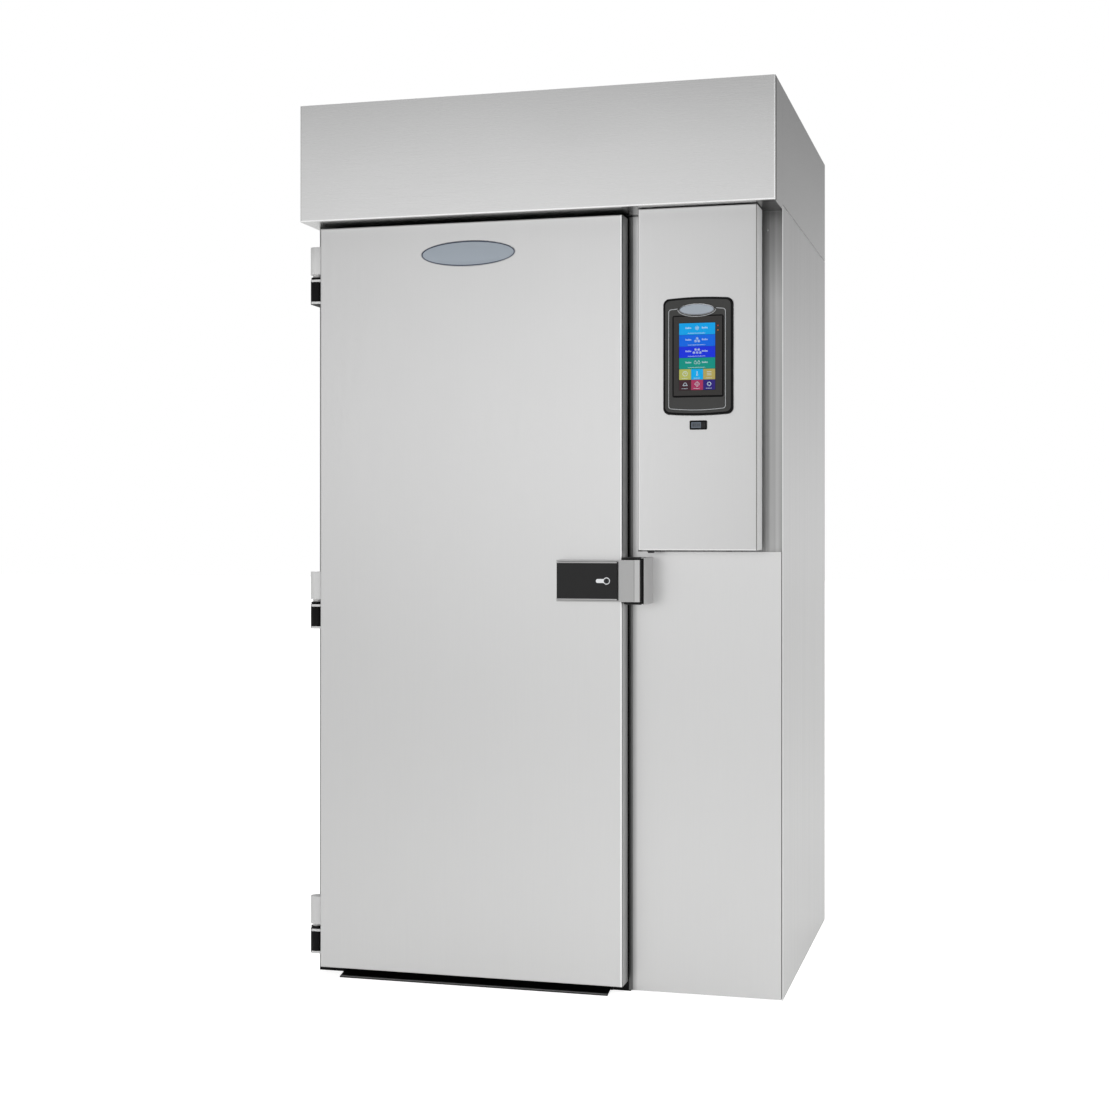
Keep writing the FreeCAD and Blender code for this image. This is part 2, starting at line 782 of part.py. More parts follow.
# ---------------------------------------------------------------------------------------------
# Latch, lock and inside release
# ---------------------------------------------------------------------------------------------
def latch():
    """A housing on the door whose nose enters the strike, a pull lever, a tongue and a lock."""
    z = ("latch_low", "latch_high")
    body_x = ("latch_left", "nose_end - nose_chamfer_run - strike_gap")
    base = block(body_x, ("front - latch_floor", "door_front"), z)
    rims = [
        block(("latch_left", "lever_end + nose_gap"), ("front - latch_proud", "front - latch_floor"), span)
        for span in (("latch_low", "latch_low + latch_rim"), ("latch_high - latch_rim", "latch_high"))
    ]
    nose = [
        ("lever_end + nose_gap - sheet", "front - latch_proud"),
        ("nose_end - nose_chamfer_run", "front - latch_proud"),
        ("nose_end", "front - latch_proud + nose_chamfer"),
        ("nose_end", "front - nose_front"),
        ("lever_end + nose_gap - sheet", "front - nose_front"),
    ]
    head = sketched("xy", nose, "latch_low", "latch_high")
    core = block(("door_right + strike_gap", "nose_core_end"),
                 ("front - nose_front - 1", "front - nose_core_back"),
                 ("latch_low + 2 * latch_rim", "latch_high - 2 * latch_rim"))
    tongue_slot = block(("tongue_end - tongue_length - tongue_travel - lever_clearance", "nose_core_end + 1"),
                        ("front - tongue_front - tongue_play", "front - tongue_back + tongue_play"),
                        ("latch_height - tongue_half - tongue_play",
                         "latch_height + tongue_half + tongue_play"))
    knuckle_bay = block(("lever_x - lever_knuckle - lever_clearance", "lever_end + lever_clearance"),
                        ("front - latch_floor - 1", "lever_y + lever_knuckle + lever_clearance"),
                        ("latch_low + 3 * latch_rim", "latch_high - 3 * latch_rim"))
    grip = block(("latch_left - 1", "latch_left + 3 * lever_thickness"),
                 ("front - latch_floor - 1", "door_front - lever_thickness"),
                 ("latch_low + 2 * latch_rim", "latch_high - 2 * latch_rim"))
    pin_span = ("latch_low + lever_clearance", "latch_high - lever_clearance")
    pin_hole = drum("z", ("lever_x", "lever_y"), "lever_pin_radius", *pin_span)
    casting = less(fused(base, *rims, head, core), tongue_slot, knuckle_bay, grip, pin_hole)
    pin = drum("z", ("lever_x", "lever_y"), "lever_pin_radius", *pin_span)
    keep("latch_housing", together(casting, pin))

    face_z = ("latch_low + latch_rim + lever_clearance", "latch_high - latch_rim - lever_clearance")
    face = block(("latch_left + lever_clearance", "lever_end"),
                 ("front - lever_proud", "front - lever_proud + lever_thickness"), face_z)
    ahead, far = at("front") - at("lever_proud"), at("latch_left") + at("lever_clearance")
    face = rounded(face, at("lever_edge"), lambda middle, along: near(middle.y, ahead) or
                   (near(middle.x, far) and along == "y"))
    web_z = ("latch_low + 3 * latch_rim + lever_clearance", "latch_high - 3 * latch_rim - lever_clearance")
    knuckle = drum("z", ("lever_x", "lever_y"), "lever_knuckle", *web_z)
    web = block(("lever_x - lever_pin_radius", "lever_x + lever_pin_radius"),
                ("front - lever_proud + lever_thickness - 1", "lever_y"), web_z)
    bore = drum("z", ("lever_x", "lever_y"), "lever_pin_radius + bore_play",
                "latch_low", "latch_high")
    lock_x = ("lock_x + lock_radius + lock_tail_radius - lock_length", "lock_x")
    lock_y = ("front - lever_proud - sheet", "front - lever_proud + lever_thickness")

    def lock_form():
        """The outline of a profile cylinder: a round end with a straight tail."""
        tail = block(lock_x, lock_y, ("latch_height - lock_tail_radius", "latch_height + lock_tail_radius"))
        end = drum("y", (lock_x[0], "latch_height"), "lock_tail_radius", *lock_y)
        ring = drum("y", ("lock_x", "latch_height"), "lock_radius", *lock_y)
        return fused(tail, end, ring)

    keep("latch_lever", less(fused(face, knuckle, web), bore, lock_form()))
    plug_y = ("front - lever_proud - 2 * sheet", "front - lever_proud + lever_thickness - sheet")
    plug_hole = drum("y", ("lock_x", "latch_height"), "lock_plug_radius + bore_play",
                     "front - lever_proud - 3 * sheet", plug_y[1])
    keep("lock_body", less(lock_form(), plug_hole))
    plug = drum("y", ("lock_x", "latch_height"), "lock_plug_radius", *plug_y)
    keyway = block(("lock_x - keyway_width / 2", "lock_x + keyway_width / 2"),
                   (f"{plug_y[0]} - 1", "front - lever_proud + sheet"),
                   ("latch_height - keyway_length / 2", "latch_height + keyway_length / 2"))
    keep("lock_plug", less(plug, keyway))

    tongue = [
        ("tongue_end - tongue_length", "front - tongue_front"),
        ("tongue_end", "front - tongue_front"),
        ("tongue_end", "front - tongue_front + tongue_nose"),
        ("tongue_end - lever_thickness", "front - tongue_back"),
        ("tongue_end - tongue_length", "front - tongue_back"),
    ]
    keep("latch_tongue", sketched("xy", tongue, "latch_height - tongue_half", "latch_height + tongue_half"))


def strike():
    """The strike on the column: a steel case, its black liner and the keeper lip."""
    y = ("front - strike_proud", "front")
    inner_x = ("strike_x", "strike_inner + strike_liner")
    outer = block(("strike_x", "strike_right"), y, ("strike_low", "strike_high"))
    hollow = block(("strike_x - 1", "strike_inner + strike_liner"), ("front - strike_proud - 1", "front + 1"),
                   ("strike_low + strike_sheet", "strike_high - strike_sheet"))
    keep("strike_case", less(outer, hollow))
    lining = block(inner_x, y, ("strike_low + strike_sheet", "strike_high - strike_sheet"))
    pocket = block(("strike_x - 1", "strike_inner"), ("front - strike_proud - 1", "front + 1"),
                   ("strike_low + strike_sheet + strike_liner", "strike_high - strike_sheet - strike_liner"))
    lip = block(("tongue_end + keeper_play", "strike_inner"),
                ("front - tongue_front - keeper_thickness", "front - tongue_front - keeper_play"),
                ("latch_height - keeper_half", "latch_height + keeper_half"))
    keep("strike_liner", together(less(lining, pocket), lip))


def inside_release():
    """The push knob inside, on a rod through the door: it frees a person or a rack pusher."""
    centre = ("release_x", "latch_height")
    inner_face = "door_back + plug_depth"
    rod = drum("y", centre, "release_rod_radius", "door_front + release_stand",
               f"{inner_face} + release_stand")
    knob = drum("y", centre, "release_knob_radius", f"{inner_face} + release_stand",
                f"{inner_face} + release_stand + release_knob_length")
    end = at("door_back") + at("plug_depth") + at("release_stand") + at("release_knob_length")
    domed = rounded(fused(rod, knob), at("release_dome"), lambda middle, along: near(middle.y, end))
    keep("inside_release", domed)


# ---------------------------------------------------------------------------------------------
# Control box
# ---------------------------------------------------------------------------------------------
def control_box():
    """The tray that swings out, its pivots, the controller and the port."""
    ahead = at("box_front")
    right, left = at("box_right"), at("box_left")

    def bends(middle, along):
        return near(middle.y, ahead) or (along == "y" and (near(middle.x, left) or near(middle.x, right)))

    shell = tray(("box_left", "box_right"), ("box_front", "box_back"), ("box_bottom", "box_top"),
                 "sheet", "y+", at("box_bend"), bends)
    bore = drum("z", ("pivot_x", "pivot_y"), "pivot_radius + bore_play", "box_bottom - 1", "box_top + 1")
    middle = "bezel_middle"
    window = block((f"{middle} - module_width / 2", f"{middle} + module_width / 2"),
                   ("box_front - 1", "box_front + sheet + 1"),
                   ("bezel_bottom + bezel_height / 2 - module_height / 2",
                    "bezel_bottom + bezel_height / 2 + module_height / 2"))
    slot = block((f"{middle} - port_width / 2 + port_proud", f"{middle} + port_width / 2 - port_proud"),
                 ("box_front - 1", "box_front + sheet + 1"),
                 ("port_top - port_height + port_proud", "port_top - port_proud"))
    keep("control_box", less(shell, bore, window, slot))

    y = ("bezel_front", "box_front")
    frame = block(("bezel_left", "bezel_right"), y, ("bezel_bottom", "bezel_bottom + bezel_height"))
    frame = rounded(frame, at("bezel_corner"), lambda middle, along: along == "y")
    glass = block((f"{middle} - glass_width / 2", f"{middle} + glass_width / 2"),
                  ("bezel_front - 1", "bezel_front + glass_thickness"),
                  ("bezel_bottom + glass_rise", "bezel_bottom + glass_rise + glass_height"))
    keep("controller_bezel", less(frame, glass))
    keep("touch_glass", block((f"{middle} - glass_width / 2", f"{middle} + glass_width / 2"),
                              ("bezel_front", "bezel_front + glass_thickness"),
                              ("bezel_bottom + glass_rise", "bezel_bottom + glass_rise + glass_height")))
    keep("controller_module", block(
        (f"{middle} - module_width / 2", f"{middle} + module_width / 2"),
        ("box_front", "box_front + module_depth"),
        ("bezel_bottom + bezel_height / 2 - module_height / 2",
         "bezel_bottom + bezel_height / 2 + module_height / 2")))

    flange = block((f"{middle} - port_width / 2", f"{middle} + port_width / 2"),
                   ("box_front - port_proud", "box_front"), ("port_top - port_height", "port_top"))
    barrel = block((f"{middle} - port_width / 2 + port_proud", f"{middle} + port_width / 2 - port_proud"),
                   ("box_front - port_proud", "box_front + port_depth"),
                   ("port_top - port_height + port_proud", "port_top - port_proud"))
    mouth = block((f"{middle} - port_width / 2 + 3 * port_proud",
                   f"{middle} + port_width / 2 - 3 * port_proud"),
                  ("box_front - port_proud - 1", "box_front + port_depth - port_proud"),
                  ("port_top - port_height + 2.5 * port_proud", "port_top - 2.5 * port_proud"))
    keep("data_port", less(fused(flange, barrel), mouth))

    arm_top = "box_bottom - hinge_play"
    arm = block(("pivot_x - pivot_arm_width / 2", "pivot_x + pivot_arm_width / 2"),
                ("pivot_y - pivot_head_radius", "recess"), (f"{arm_top} - pivot_arm", arm_top))
    pin = drum("z", ("pivot_x", "pivot_y"), "pivot_radius", f"{arm_top} - pivot_arm",
               "box_bottom + 3 * pivot_radius")
    head = drum("z", ("pivot_x", "pivot_y"), "pivot_head_radius", f"{arm_top} - 2 * pivot_arm",
                f"{arm_top} - pivot_arm")
    lower = fused(arm, pin, head)
    upper_head = drum("z", ("pivot_x", "pivot_y"), "pivot_head_radius", "hood_bottom + sheet",
                      "hood_bottom + sheet + pivot_arm")
    upper_pin = drum("z", ("pivot_x", "pivot_y"), "pivot_radius", "box_top - 3 * pivot_radius",
                     "hood_bottom + sheet")
    keep("box_pivots", together(lower, fused(upper_head, upper_pin)))


def electrical_parts():
    """The plate on the recessed face behind the box, with what switches the fans and valves."""
    keep("electrical_plate", block(("plate_left", "plate_right"), ("plate_front", "recess"),
                                   ("plate_bottom", "box_top - plate_top_gap")))
    step_y = ("plate_front - contactor_depth - 1", "plate_front - contactor_depth + contactor_step")
    low, high = "contactor_low", "contactor_low + contactor_height"
    contactors = []
    for number in range(int(at("contactor_count"))):
        x_high = f"mount_edge - {number} * contactor_pitch"
        body = block((f"{x_high} - contactor_width", x_high),
                     ("plate_front - contactor_depth", "plate_front"), (low, high))
        wide = (f"{x_high} - contactor_width - 1", f"{x_high} + 1")
        lower = block(wide, step_y, (f"{low} - 1", f"{low} + contactor_shelf"))
        upper = block(wide, step_y, (f"{high} - contactor_shelf", f"{high} + 1"))
        contactors.append(less(body, lower, upper))
    terminals = []
    for number in range(int(at("terminal_count"))):
        x_high = f"mount_edge - {number} * (terminal_width + 1)"
        terminals.append(block((f"{x_high} - terminal_width", x_high),
                               ("plate_front - terminal_depth", "plate_front"),
                               ("terminal_low", "terminal_low + terminal_height")))
    keep("contactors_and_terminals", together(*contactors, *terminals))

    board_y = ("plate_front - board_stand - board_thickness", "plate_front - board_stand")
    board = block(("mount_edge - board_width", "mount_edge"), board_y,
                  ("board_low", "board_low + board_height"))
    studs = [
        drum("y", (x, z), "stud_radius", "plate_front - board_stand", "plate_front")
        for x in ("mount_edge - board_width + stud_inset", "mount_edge - stud_inset")
        for z in ("board_low + stud_inset", "board_low + board_height - stud_inset")
    ]
    relays = []
    for number in range(int(at("relay_count"))):
        x_low = f"mount_edge - board_width + 2 * stud_inset + {number} * relay_pitch"
        relays.append(block((x_low, f"{x_low} + relay_width"), (f"{board_y[0]} - relay_depth", board_y[0]),
                            ("board_low + 2 * stud_inset", "board_low + 2 * stud_inset + relay_height")))
    keep("relay_board", fused(board, *studs, *relays))

    iron = block(("mount_edge - transformer_width", "mount_edge"),
                 ("plate_front - transformer_depth", "plate_front"),
                 ("iron_low", "iron_low + transformer_height"))
    winding = block(("mount_edge - transformer_width + winding_inset", "mount_edge - winding_inset"),
                    ("plate_front - transformer_depth - winding_proud", "plate_front"),
                    ("iron_low - winding_proud", "iron_low + transformer_height + winding_proud"))
    keep("transformer", fused(iron, winding))


# ---------------------------------------------------------------------------------------------
# Fans
# ---------------------------------------------------------------------------------------------
def fan_levels():
    """The height of each fan's axis."""
    return [f"fan_base + {number} * fan_pitch" for number in range(int(at("fan_count")))]


def fan_wall():
    """The wall between the rack space and the coil, its shrouds, motors, straps and guards."""
    flange = ("fan_wall_x", "fan_wall_x + fan_wall_flange")
    y = ("inner_front + fan_wall_gap / 2", "inner_back - fan_wall_gap / 2")
    wall = block(("fan_wall_x", "fan_wall_back"), y, ("fan_wall_bottom", "fan_wall_top"))
    folds = [
        block(flange, (y[0], f"{y[0]} + sheet"), ("fan_wall_bottom", "fan_wall_top")),
        block(flange, (f"{y[1]} - sheet", y[1]), ("fan_wall_bottom", "fan_wall_top")),
    ]
    legs = [
        block(("fan_wall_x", "fan_wall_x + fan_wall_flange"), span, ("floor_height", "ceiling"))
        for span in (("inner_front", y[0]), (y[1], "inner_back"))
    ]
    back = at("motor_x") + at("motor_length")
    holes, shrouds, motors, straps, guards = [], [], [], [], []
    for level in fan_levels():
        centre = ("fan_y", level)
        holes.append(drum("x", centre, "fan_hole_radius", "fan_wall_x - 1", "fan_wall_back + 1"))
        outer = drum("x", centre, "fan_hole_radius + shroud_sheet", "fan_wall_back",
                     "fan_wall_back + shroud_depth")
        bore = drum("x", centre, "fan_hole_radius", "fan_wall_back - 1", "fan_wall_back + shroud_depth + 1")
        shrouds.append(less(outer, bore))
        reach = "(fan_hole_radius + shroud_sheet)"
        span_y = ("fan_y - strap_width / 2", "fan_y + strap_width / 2")
        bar = block(("strap_x", "motor_x"), span_y,
                    (f"{level} - {reach} - strap_thickness", f"{level} + {reach} + strap_thickness"))
        feet = [
            block(("fan_wall_back", "motor_x"), span_y, span)
            for span in ((f"{level} - {reach} - strap_thickness", f"{level} - {reach}"),
                         (f"{level} + {reach}", f"{level} + {reach} + strap_thickness"))
        ]
        eye = drum("x", centre, "fan_shaft_radius + strap_clearance", "strap_x - 1", "motor_x + 1")
        straps.append(less(fused(bar, *feet), eye))
        motor = drum("x", centre, "motor_radius", "motor_x", "motor_x + motor_length")
        socket = drum("x", centre, "fan_shaft_radius + bore_play", "motor_x - 1", "motor_x + motor_bore")
        motors.append(less(rounded(motor, at("motor_round"), lambda middle, along: near(middle.x, back)),
                           socket))
        guards.append(fan_guard(level))
    keep("fan_wall", together(less(fused(wall, *folds), *holes), *legs))
    keep("fan_motors", together(*motors))
    keep("fan_frames", together(*shrouds, *straps))
    keep("fan_guards", together(*guards))


def fan_guard(level):
    """Concentric rings on a cross, held off the fan wall by the outer ring."""
    centre = ("fan_y", level)
    rings = []
    for number in range(int(at("guard_rings"))):
        radius = f"(fan_hole_radius + guard_wire) * ({number} + 1) / guard_rings"
        outermost = number == int(at("guard_rings")) - 1
        proud = "fan_wall_x" if outermost else "fan_wall_x - guard_proud + guard_wire"
        span = ("fan_wall_x - guard_proud", proud)
        outer = drum("x", centre, f"{radius} + guard_wire / 2", *span)
        inner = drum("x", centre, f"{radius} - guard_wire / 2", f"{span[0]} - 1", f"{span[1]} + 1")
        rings.append(less(outer, inner))
    reach = "fan_hole_radius + guard_wire"
    depth = ("fan_wall_x - guard_proud", "fan_wall_x - guard_proud + guard_wire")
    spokes = [
        block(depth, ("fan_y - guard_wire / 2", "fan_y + guard_wire / 2"),
              (f"{level} - ({reach})", f"{level} + {reach}")),
        block(depth, (f"fan_y - ({reach})", f"fan_y + {reach}"),
              (f"{level} - guard_wire / 2", f"{level} + guard_wire / 2")),
    ]
    return fused(*rings, *spokes)


def blade_section(radius, chord, pitch, thickness, camber, centre_x):
    """A cambered section at one radius: two arcs in the plane square to the blade's span."""
    turn = math.radians(pitch)
    along = Vector(math.sin(turn), math.cos(turn), 0)
    across = Vector(math.cos(turn), -math.sin(turn), 0)
    home = Vector(centre_x, 0, radius)
    nose = home - along * (chord / 2)
    tail = home + along * (chord / 2)
    upper = home + across * (camber + thickness / 2)
    lower = home + across * (camber - thickness / 2)
    return Part.Wire([Part.Arc(nose, upper, tail).toShape(), Part.Arc(tail, lower, nose).toShape()])


def fan_rotors():
    """A domed hub with twisted, cambered blades that widen towards the tip, on a shaft."""
    middle = at("rotor_x") + at("fan_hub_length") / 2
    hub_radius = at("fan_hub_radius")
    spans = (
        (hub_radius - at("fan_blade_sink"), at("fan_root_chord"), at("fan_root_pitch_deg")),
        ((hub_radius + at("fan_tip_radius")) / 2, (at("fan_root_chord") + at("fan_tip_chord")) / 2,
         (at("fan_root_pitch_deg") + at("fan_tip_pitch_deg")) / 2),
        (at("fan_tip_radius"), at("fan_tip_chord"), at("fan_tip_pitch_deg")),
    )
    sections = [
        blade_section(radius, chord, pitch, at("fan_blade_thickness"), at("fan_camber"), middle)
        for radius, chord, pitch in spans
    ]
    blade = Part.makeLoft(sections, True, False)
    hub_x = at("rotor_x")
    hub = Part.makeCylinder(hub_radius, at("fan_hub_length"), Vector(hub_x, 0, 0), Vector(1, 0, 0))
    rim = [edge for edge in hub.Edges if near(edge.CenterOfMass.x, hub_x)]
    hub = hub.makeFillet(at("fan_hub_round"), rim)
    shaft_end = at("motor_x") + at("motor_bore") - at("shaft_play")
    shaft = Part.makeCylinder(at("fan_shaft_radius"), shaft_end - at("rotor_back"),
                              Vector(at("rotor_back"), 0, 0), Vector(1, 0, 0))
    blades = []
    for number in range(int(at("fan_blades"))):
        turned = blade.copy()
        turned.rotate(Vector(0, 0, 0), Vector(1, 0, 0), 360 * number / at("fan_blades"))
        blades.append(turned)
    rotor = hub.fuse(blades + [shaft]).removeSplitter()
    for number in range(int(at("fan_count"))):
        piece = shaped(rotor)
        level = at("fan_base") + number * at("fan_pitch")
        piece.Placement = Placement(Vector(0, at("fan_y"), level), Rotation())
        keep(f"fan_rotor_{number + 1}", piece)


# ---------------------------------------------------------------------------------------------
# Coil, pan and pipes
# ---------------------------------------------------------------------------------------------
def coil():
    """A finned block between two end plates, with the return bends of its tubes."""
    front, back = at("coil_front"), at("coil_back")
    left, right = at("coil_x"), at("coil_right")
    core_left = (left + right - at("coil_core")) / 2
    core_right = core_left + at("coil_core")
    count = int((back - front) / at("fin_pitch"))
    start = (front + back - (count - 1) * at("fin_pitch") - at("fin_thickness")) / 2
    down, up = [Vector(core_left, front, 0)], [Vector(core_right, back, 0)]
    for number in range(count):
        low = start + number * at("fin_pitch")
        high = low + at("fin_thickness")
        down += [Vector(core_left, low, 0), Vector(left, low, 0), Vector(left, high, 0),
                 Vector(core_left, high, 0)]
    for number in reversed(range(count)):
        low = start + number * at("fin_pitch")
        high = low + at("fin_thickness")
        up += [Vector(core_right, high, 0), Vector(right, high, 0), Vector(right, low, 0),
               Vector(core_right, low, 0)]
    ring = down + [Vector(core_left, back, 0)] + up + [Vector(core_right, front, 0), down[0]]
    comb = Part.Face(Part.makePolygon(ring)).extrude(Vector(0, 0, at("coil_top") - at("coil_bottom")))
    comb.translate(Vector(0, 0, at("coil_bottom")))
    keep("coil_fins", shaped(comb))

    x = ("coil_x", "coil_right")
    z = ("coil_bottom", "coil_top")
    plates = (block(x, ("coil_front - coil_plate", "coil_front"), z),
              block(x, ("coil_back", "coil_back + coil_plate"), z))
    bends = []
    reach = at("bend_radius") + at("tube_radius")
    rows = int(at("bend_rows"))
    pitch = (at("coil_top") - at("coil_bottom")) / rows
    for number in range(rows):
        level = at("coil_bottom") + (number + 0.5) * pitch
        offset = at("bend_stagger") if number % 2 else -at("bend_stagger")
        for side, y in ((-1, front - at("coil_plate")), (1, back + at("coil_plate"))):
            ring = Part.makeTorus(at("bend_radius"), at("tube_radius"), Vector(0, 0, 0), Vector(1, 0, 0))
            outer = Part.makeBox(2 * reach, reach, 2 * reach, Vector(-reach, (side - 1) / 2 * reach, -reach))
            half = ring.common(outer)
            half.translate(Vector((left + right) / 2 + offset, y, level))
            bends.append(half)
    keep("coil_ends", together(*plates, shaped(Part.makeCompound(bends))))


def pipe_up(x, y, radius):
    """An upright pipe from the coil, with a bead below the open stub that a coupling slides on."""
    tube = drum("z", (x, y), radius, "coil_top", "stub_top")
    bead = drum("z", (x, y), f"{radius} + bead_reach", "bead_top - bead_height", "bead_top")
    inner = drum("z", (x, y), f"{radius} - pipe_wall", "bead_top", "stub_top + 1")
    return less(fused(tube, bead), inner)


def pan_and_pipes():
    """The drain pan and its pipe, the two refrigerant pipes with their valves, the roof box."""
    pan = tray(("coil_x - pan_margin", "coil_right + pan_margin"),
               ("coil_front - 2 * pan_margin", "coil_back + 2 * pan_margin"),
               ("pan_bottom", "pan_bottom + pan_height"), "sheet", "z+", 0, None)
    posts = [
        block(("coil_x", "coil_right"), span, ("pan_bottom + sheet", "coil_bottom"))
        for span in (("coil_front - coil_plate", "coil_front"), ("coil_back", "coil_back + coil_plate"))
    ]
    pipe_start = "coil_back + 2 * pan_margin"
    pipe = drum("y", ("drain_x", "drain_z"), "drain_radius", pipe_start, "back + drain_stub")
    bead = drum("y", ("drain_x", "drain_z"), "drain_radius + bead_reach", "back", "back + bead_height")
    hole = drum("y", ("drain_x", "drain_z"), "drain_radius - drain_wall", f"{pipe_start} - 1",
                "back + drain_stub + 1")
    keep("drain_pan", together(pan, less(fused(pipe, bead), hole)))
    feet = [
        block((x, f"{x} + coil_core"), ("coil_front", "coil_back"), ("floor_height", "pan_bottom"))
        for x in ("coil_x", "coil_right - coil_core")
    ]
    keep("coil_supports", together(*feet, *posts))
    keep("suction_pipe", pipe_up("suction_x", "suction_y", "suction_radius"))


def valves():
    """The expansion valve over the coil and the solenoid valve on the roof, both on the liquid pipe."""
    centre = ("liquid_x", "liquid_y")
    bodies = []
    for level in ("expansion_level", "valve_level"):
        top = f"{level} + valve_height"
        hexagon = drum("z", centre, "valve_radius", level, top)
        stem = drum("y", ("liquid_x", f"{level} + valve_height / 2"), "valve_radius - valve_step",
                    "liquid_y - valve_reach", "liquid_y")
        pipe = drum("z", centre, "liquid_radius", f"{level} - 1", f"{top} + 1")
        bodies.append(less(fused(hexagon, stem), pipe))
    pipe = pipe_up("liquid_x", "liquid_y", "liquid_radius")
    keep("liquid_pipe", together(pipe, bodies[0]))
    coil_y = ("liquid_y - valve_reach - magnet_length", "liquid_y - valve_reach")
    magnet = block(("liquid_x - valve_radius", "liquid_x + valve_radius"), coil_y,
                   ("valve_level + valve_height / 2 - valve_radius",
                    "valve_level + valve_height / 2 + valve_radius"))
    keep("solenoid_valve", together(bodies[1], magnet))


def roof_box():
    """The supply box on the ceiling panel, with one conduit entry in its lid."""
    x = ("roof_box_left", "roof_box_left + roof_box_width")
    y = ("roof_box_y", "roof_box_y + roof_box_depth")
    z = ("seam_height", "seam_height + roof_box_height")
    case = tray(x, y, z, "sheet", "z+", 0, None)
    lid = block(x, y, (z[1], f"{z[1]} + sheet"))
    entry = drum("z", ("roof_box_left + roof_box_width / 2", "roof_box_y + roof_box_depth / 2"),
                 "entry_radius", f"{z[1]} - 1", f"{z[1]} + sheet + 1")
    keep("roof_box", together(case, less(lid, entry)))


def rack_rails():
    """Rails on the left and rear walls, which take the knocks of the rack."""
    rails = []
    for number in range(int(at("rail_count"))):
        low = f"rail_level + {number} * rail_pitch"
        z = (low, f"{low} + rail_height")
        rails.append(block(("inner_left", "inner_left + rail_thickness"), ("inner_front", "inner_back"), z))
        rails.append(block(("inner_left + rail_thickness", "opening_right"),
                           ("inner_back - rail_thickness", "inner_back"), z))
    keep("rack_rails", together(*rails))


# ---------------------------------------------------------------------------------------------
# The assembly, its checks and its files
# ---------------------------------------------------------------------------------------------
for section in (cabinet_panels, ceiling_panel, skins, front_trim, hood, door,
                hinges, latch, strike, inside_release, control_box, electrical_parts, fan_wall,
                fan_rotors, coil, pan_and_pipes, valves, roof_box, rack_rails):
    section()
doc.recompute()

for item in doc.Objects:
    if "Invalid" in item.State or "Error" in item.State:
        raise RuntimeError(f"{item.Label} failed: {item.State}")
for label, piece in parts.items():
    if piece.Shape.isNull() or not piece.Shape.isValid():
        raise RuntimeError(f"{label} has no valid shape")

os.makedirs("parts", exist_ok=True)
for label, piece in parts.items():
    piece.Shape.exportStep(f"parts/{label}.step")
print(len(parts), "pieces written")
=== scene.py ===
# %% [markdown]
# # A roll-in blast chiller
# The cabinet, its door, its hinges and every part that moves come from a finished CAD model.
# This lesson dresses that model: it makes the brushed steel, the moulded black plastic and the
# lit touch screen, and adds the small things that a CAD model leaves out, such as screws, the
# wires of the fan guards and the folds of the door seal.

# %% Load the model and note its size
import math

import bmesh
import bpy
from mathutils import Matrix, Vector


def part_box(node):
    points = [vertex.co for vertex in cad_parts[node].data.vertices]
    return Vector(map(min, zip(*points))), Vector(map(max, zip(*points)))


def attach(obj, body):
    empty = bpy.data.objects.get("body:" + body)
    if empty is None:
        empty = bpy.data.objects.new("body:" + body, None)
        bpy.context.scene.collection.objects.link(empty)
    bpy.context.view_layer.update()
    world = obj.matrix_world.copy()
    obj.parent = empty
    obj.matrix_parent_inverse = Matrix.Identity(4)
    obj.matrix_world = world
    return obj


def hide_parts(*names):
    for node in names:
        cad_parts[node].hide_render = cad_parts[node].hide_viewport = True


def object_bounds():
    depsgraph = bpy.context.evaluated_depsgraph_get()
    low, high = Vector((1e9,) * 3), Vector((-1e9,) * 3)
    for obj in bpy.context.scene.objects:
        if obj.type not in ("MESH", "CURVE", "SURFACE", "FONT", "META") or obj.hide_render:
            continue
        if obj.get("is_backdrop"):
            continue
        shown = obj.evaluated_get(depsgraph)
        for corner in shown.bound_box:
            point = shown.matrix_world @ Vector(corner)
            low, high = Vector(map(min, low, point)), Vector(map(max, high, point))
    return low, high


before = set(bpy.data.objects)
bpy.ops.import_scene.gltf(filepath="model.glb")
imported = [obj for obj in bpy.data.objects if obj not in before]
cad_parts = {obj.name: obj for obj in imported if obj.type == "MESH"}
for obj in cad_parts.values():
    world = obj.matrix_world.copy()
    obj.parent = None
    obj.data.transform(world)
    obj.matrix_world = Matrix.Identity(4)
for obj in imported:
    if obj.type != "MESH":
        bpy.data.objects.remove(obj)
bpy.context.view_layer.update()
MM = 0.001

# %% [markdown]
# ## The camera
# The photograph was taken from a little above waist height, level, and slightly to the right of
# the door. A level camera keeps upright lines upright. The picture's middle is just below the
# lens axis, so a small shift moves the view instead of a tilt, as a view camera does.

# %% The camera that took the picture
PICTURE = 1109
FOCAL_PIXELS = 1754.7
HORIZON_PIXEL = 532.4
SENSOR = 36.0
CAMERA_PLACE = (1.2646, -5.1103, 1.2316)
CAMERA_TURN = 14.98

lens = bpy.data.cameras.new("studio_camera")
lens.sensor_width = SENSOR
lens.lens = FOCAL_PIXELS / PICTURE * SENSOR
lens.shift_y = (HORIZON_PIXEL - PICTURE / 2) / PICTURE
camera = bpy.data.objects.new("studio_camera", lens)
camera.location = CAMERA_PLACE
camera.rotation_euler = (math.radians(90), 0, math.radians(CAMERA_TURN))
bpy.context.collection.objects.link(camera)
bpy.context.scene.camera = camera
print("Focal length in mm:", round(lens.lens, 1))

# %% [markdown]
# ## Colours and nodes
# Colours are written as the hex values that a paint chart or a picture gives. Blender works in
# linear light, so one function turns them. Another adds a node with its settings and its links,
# which keeps each material below short enough to read.

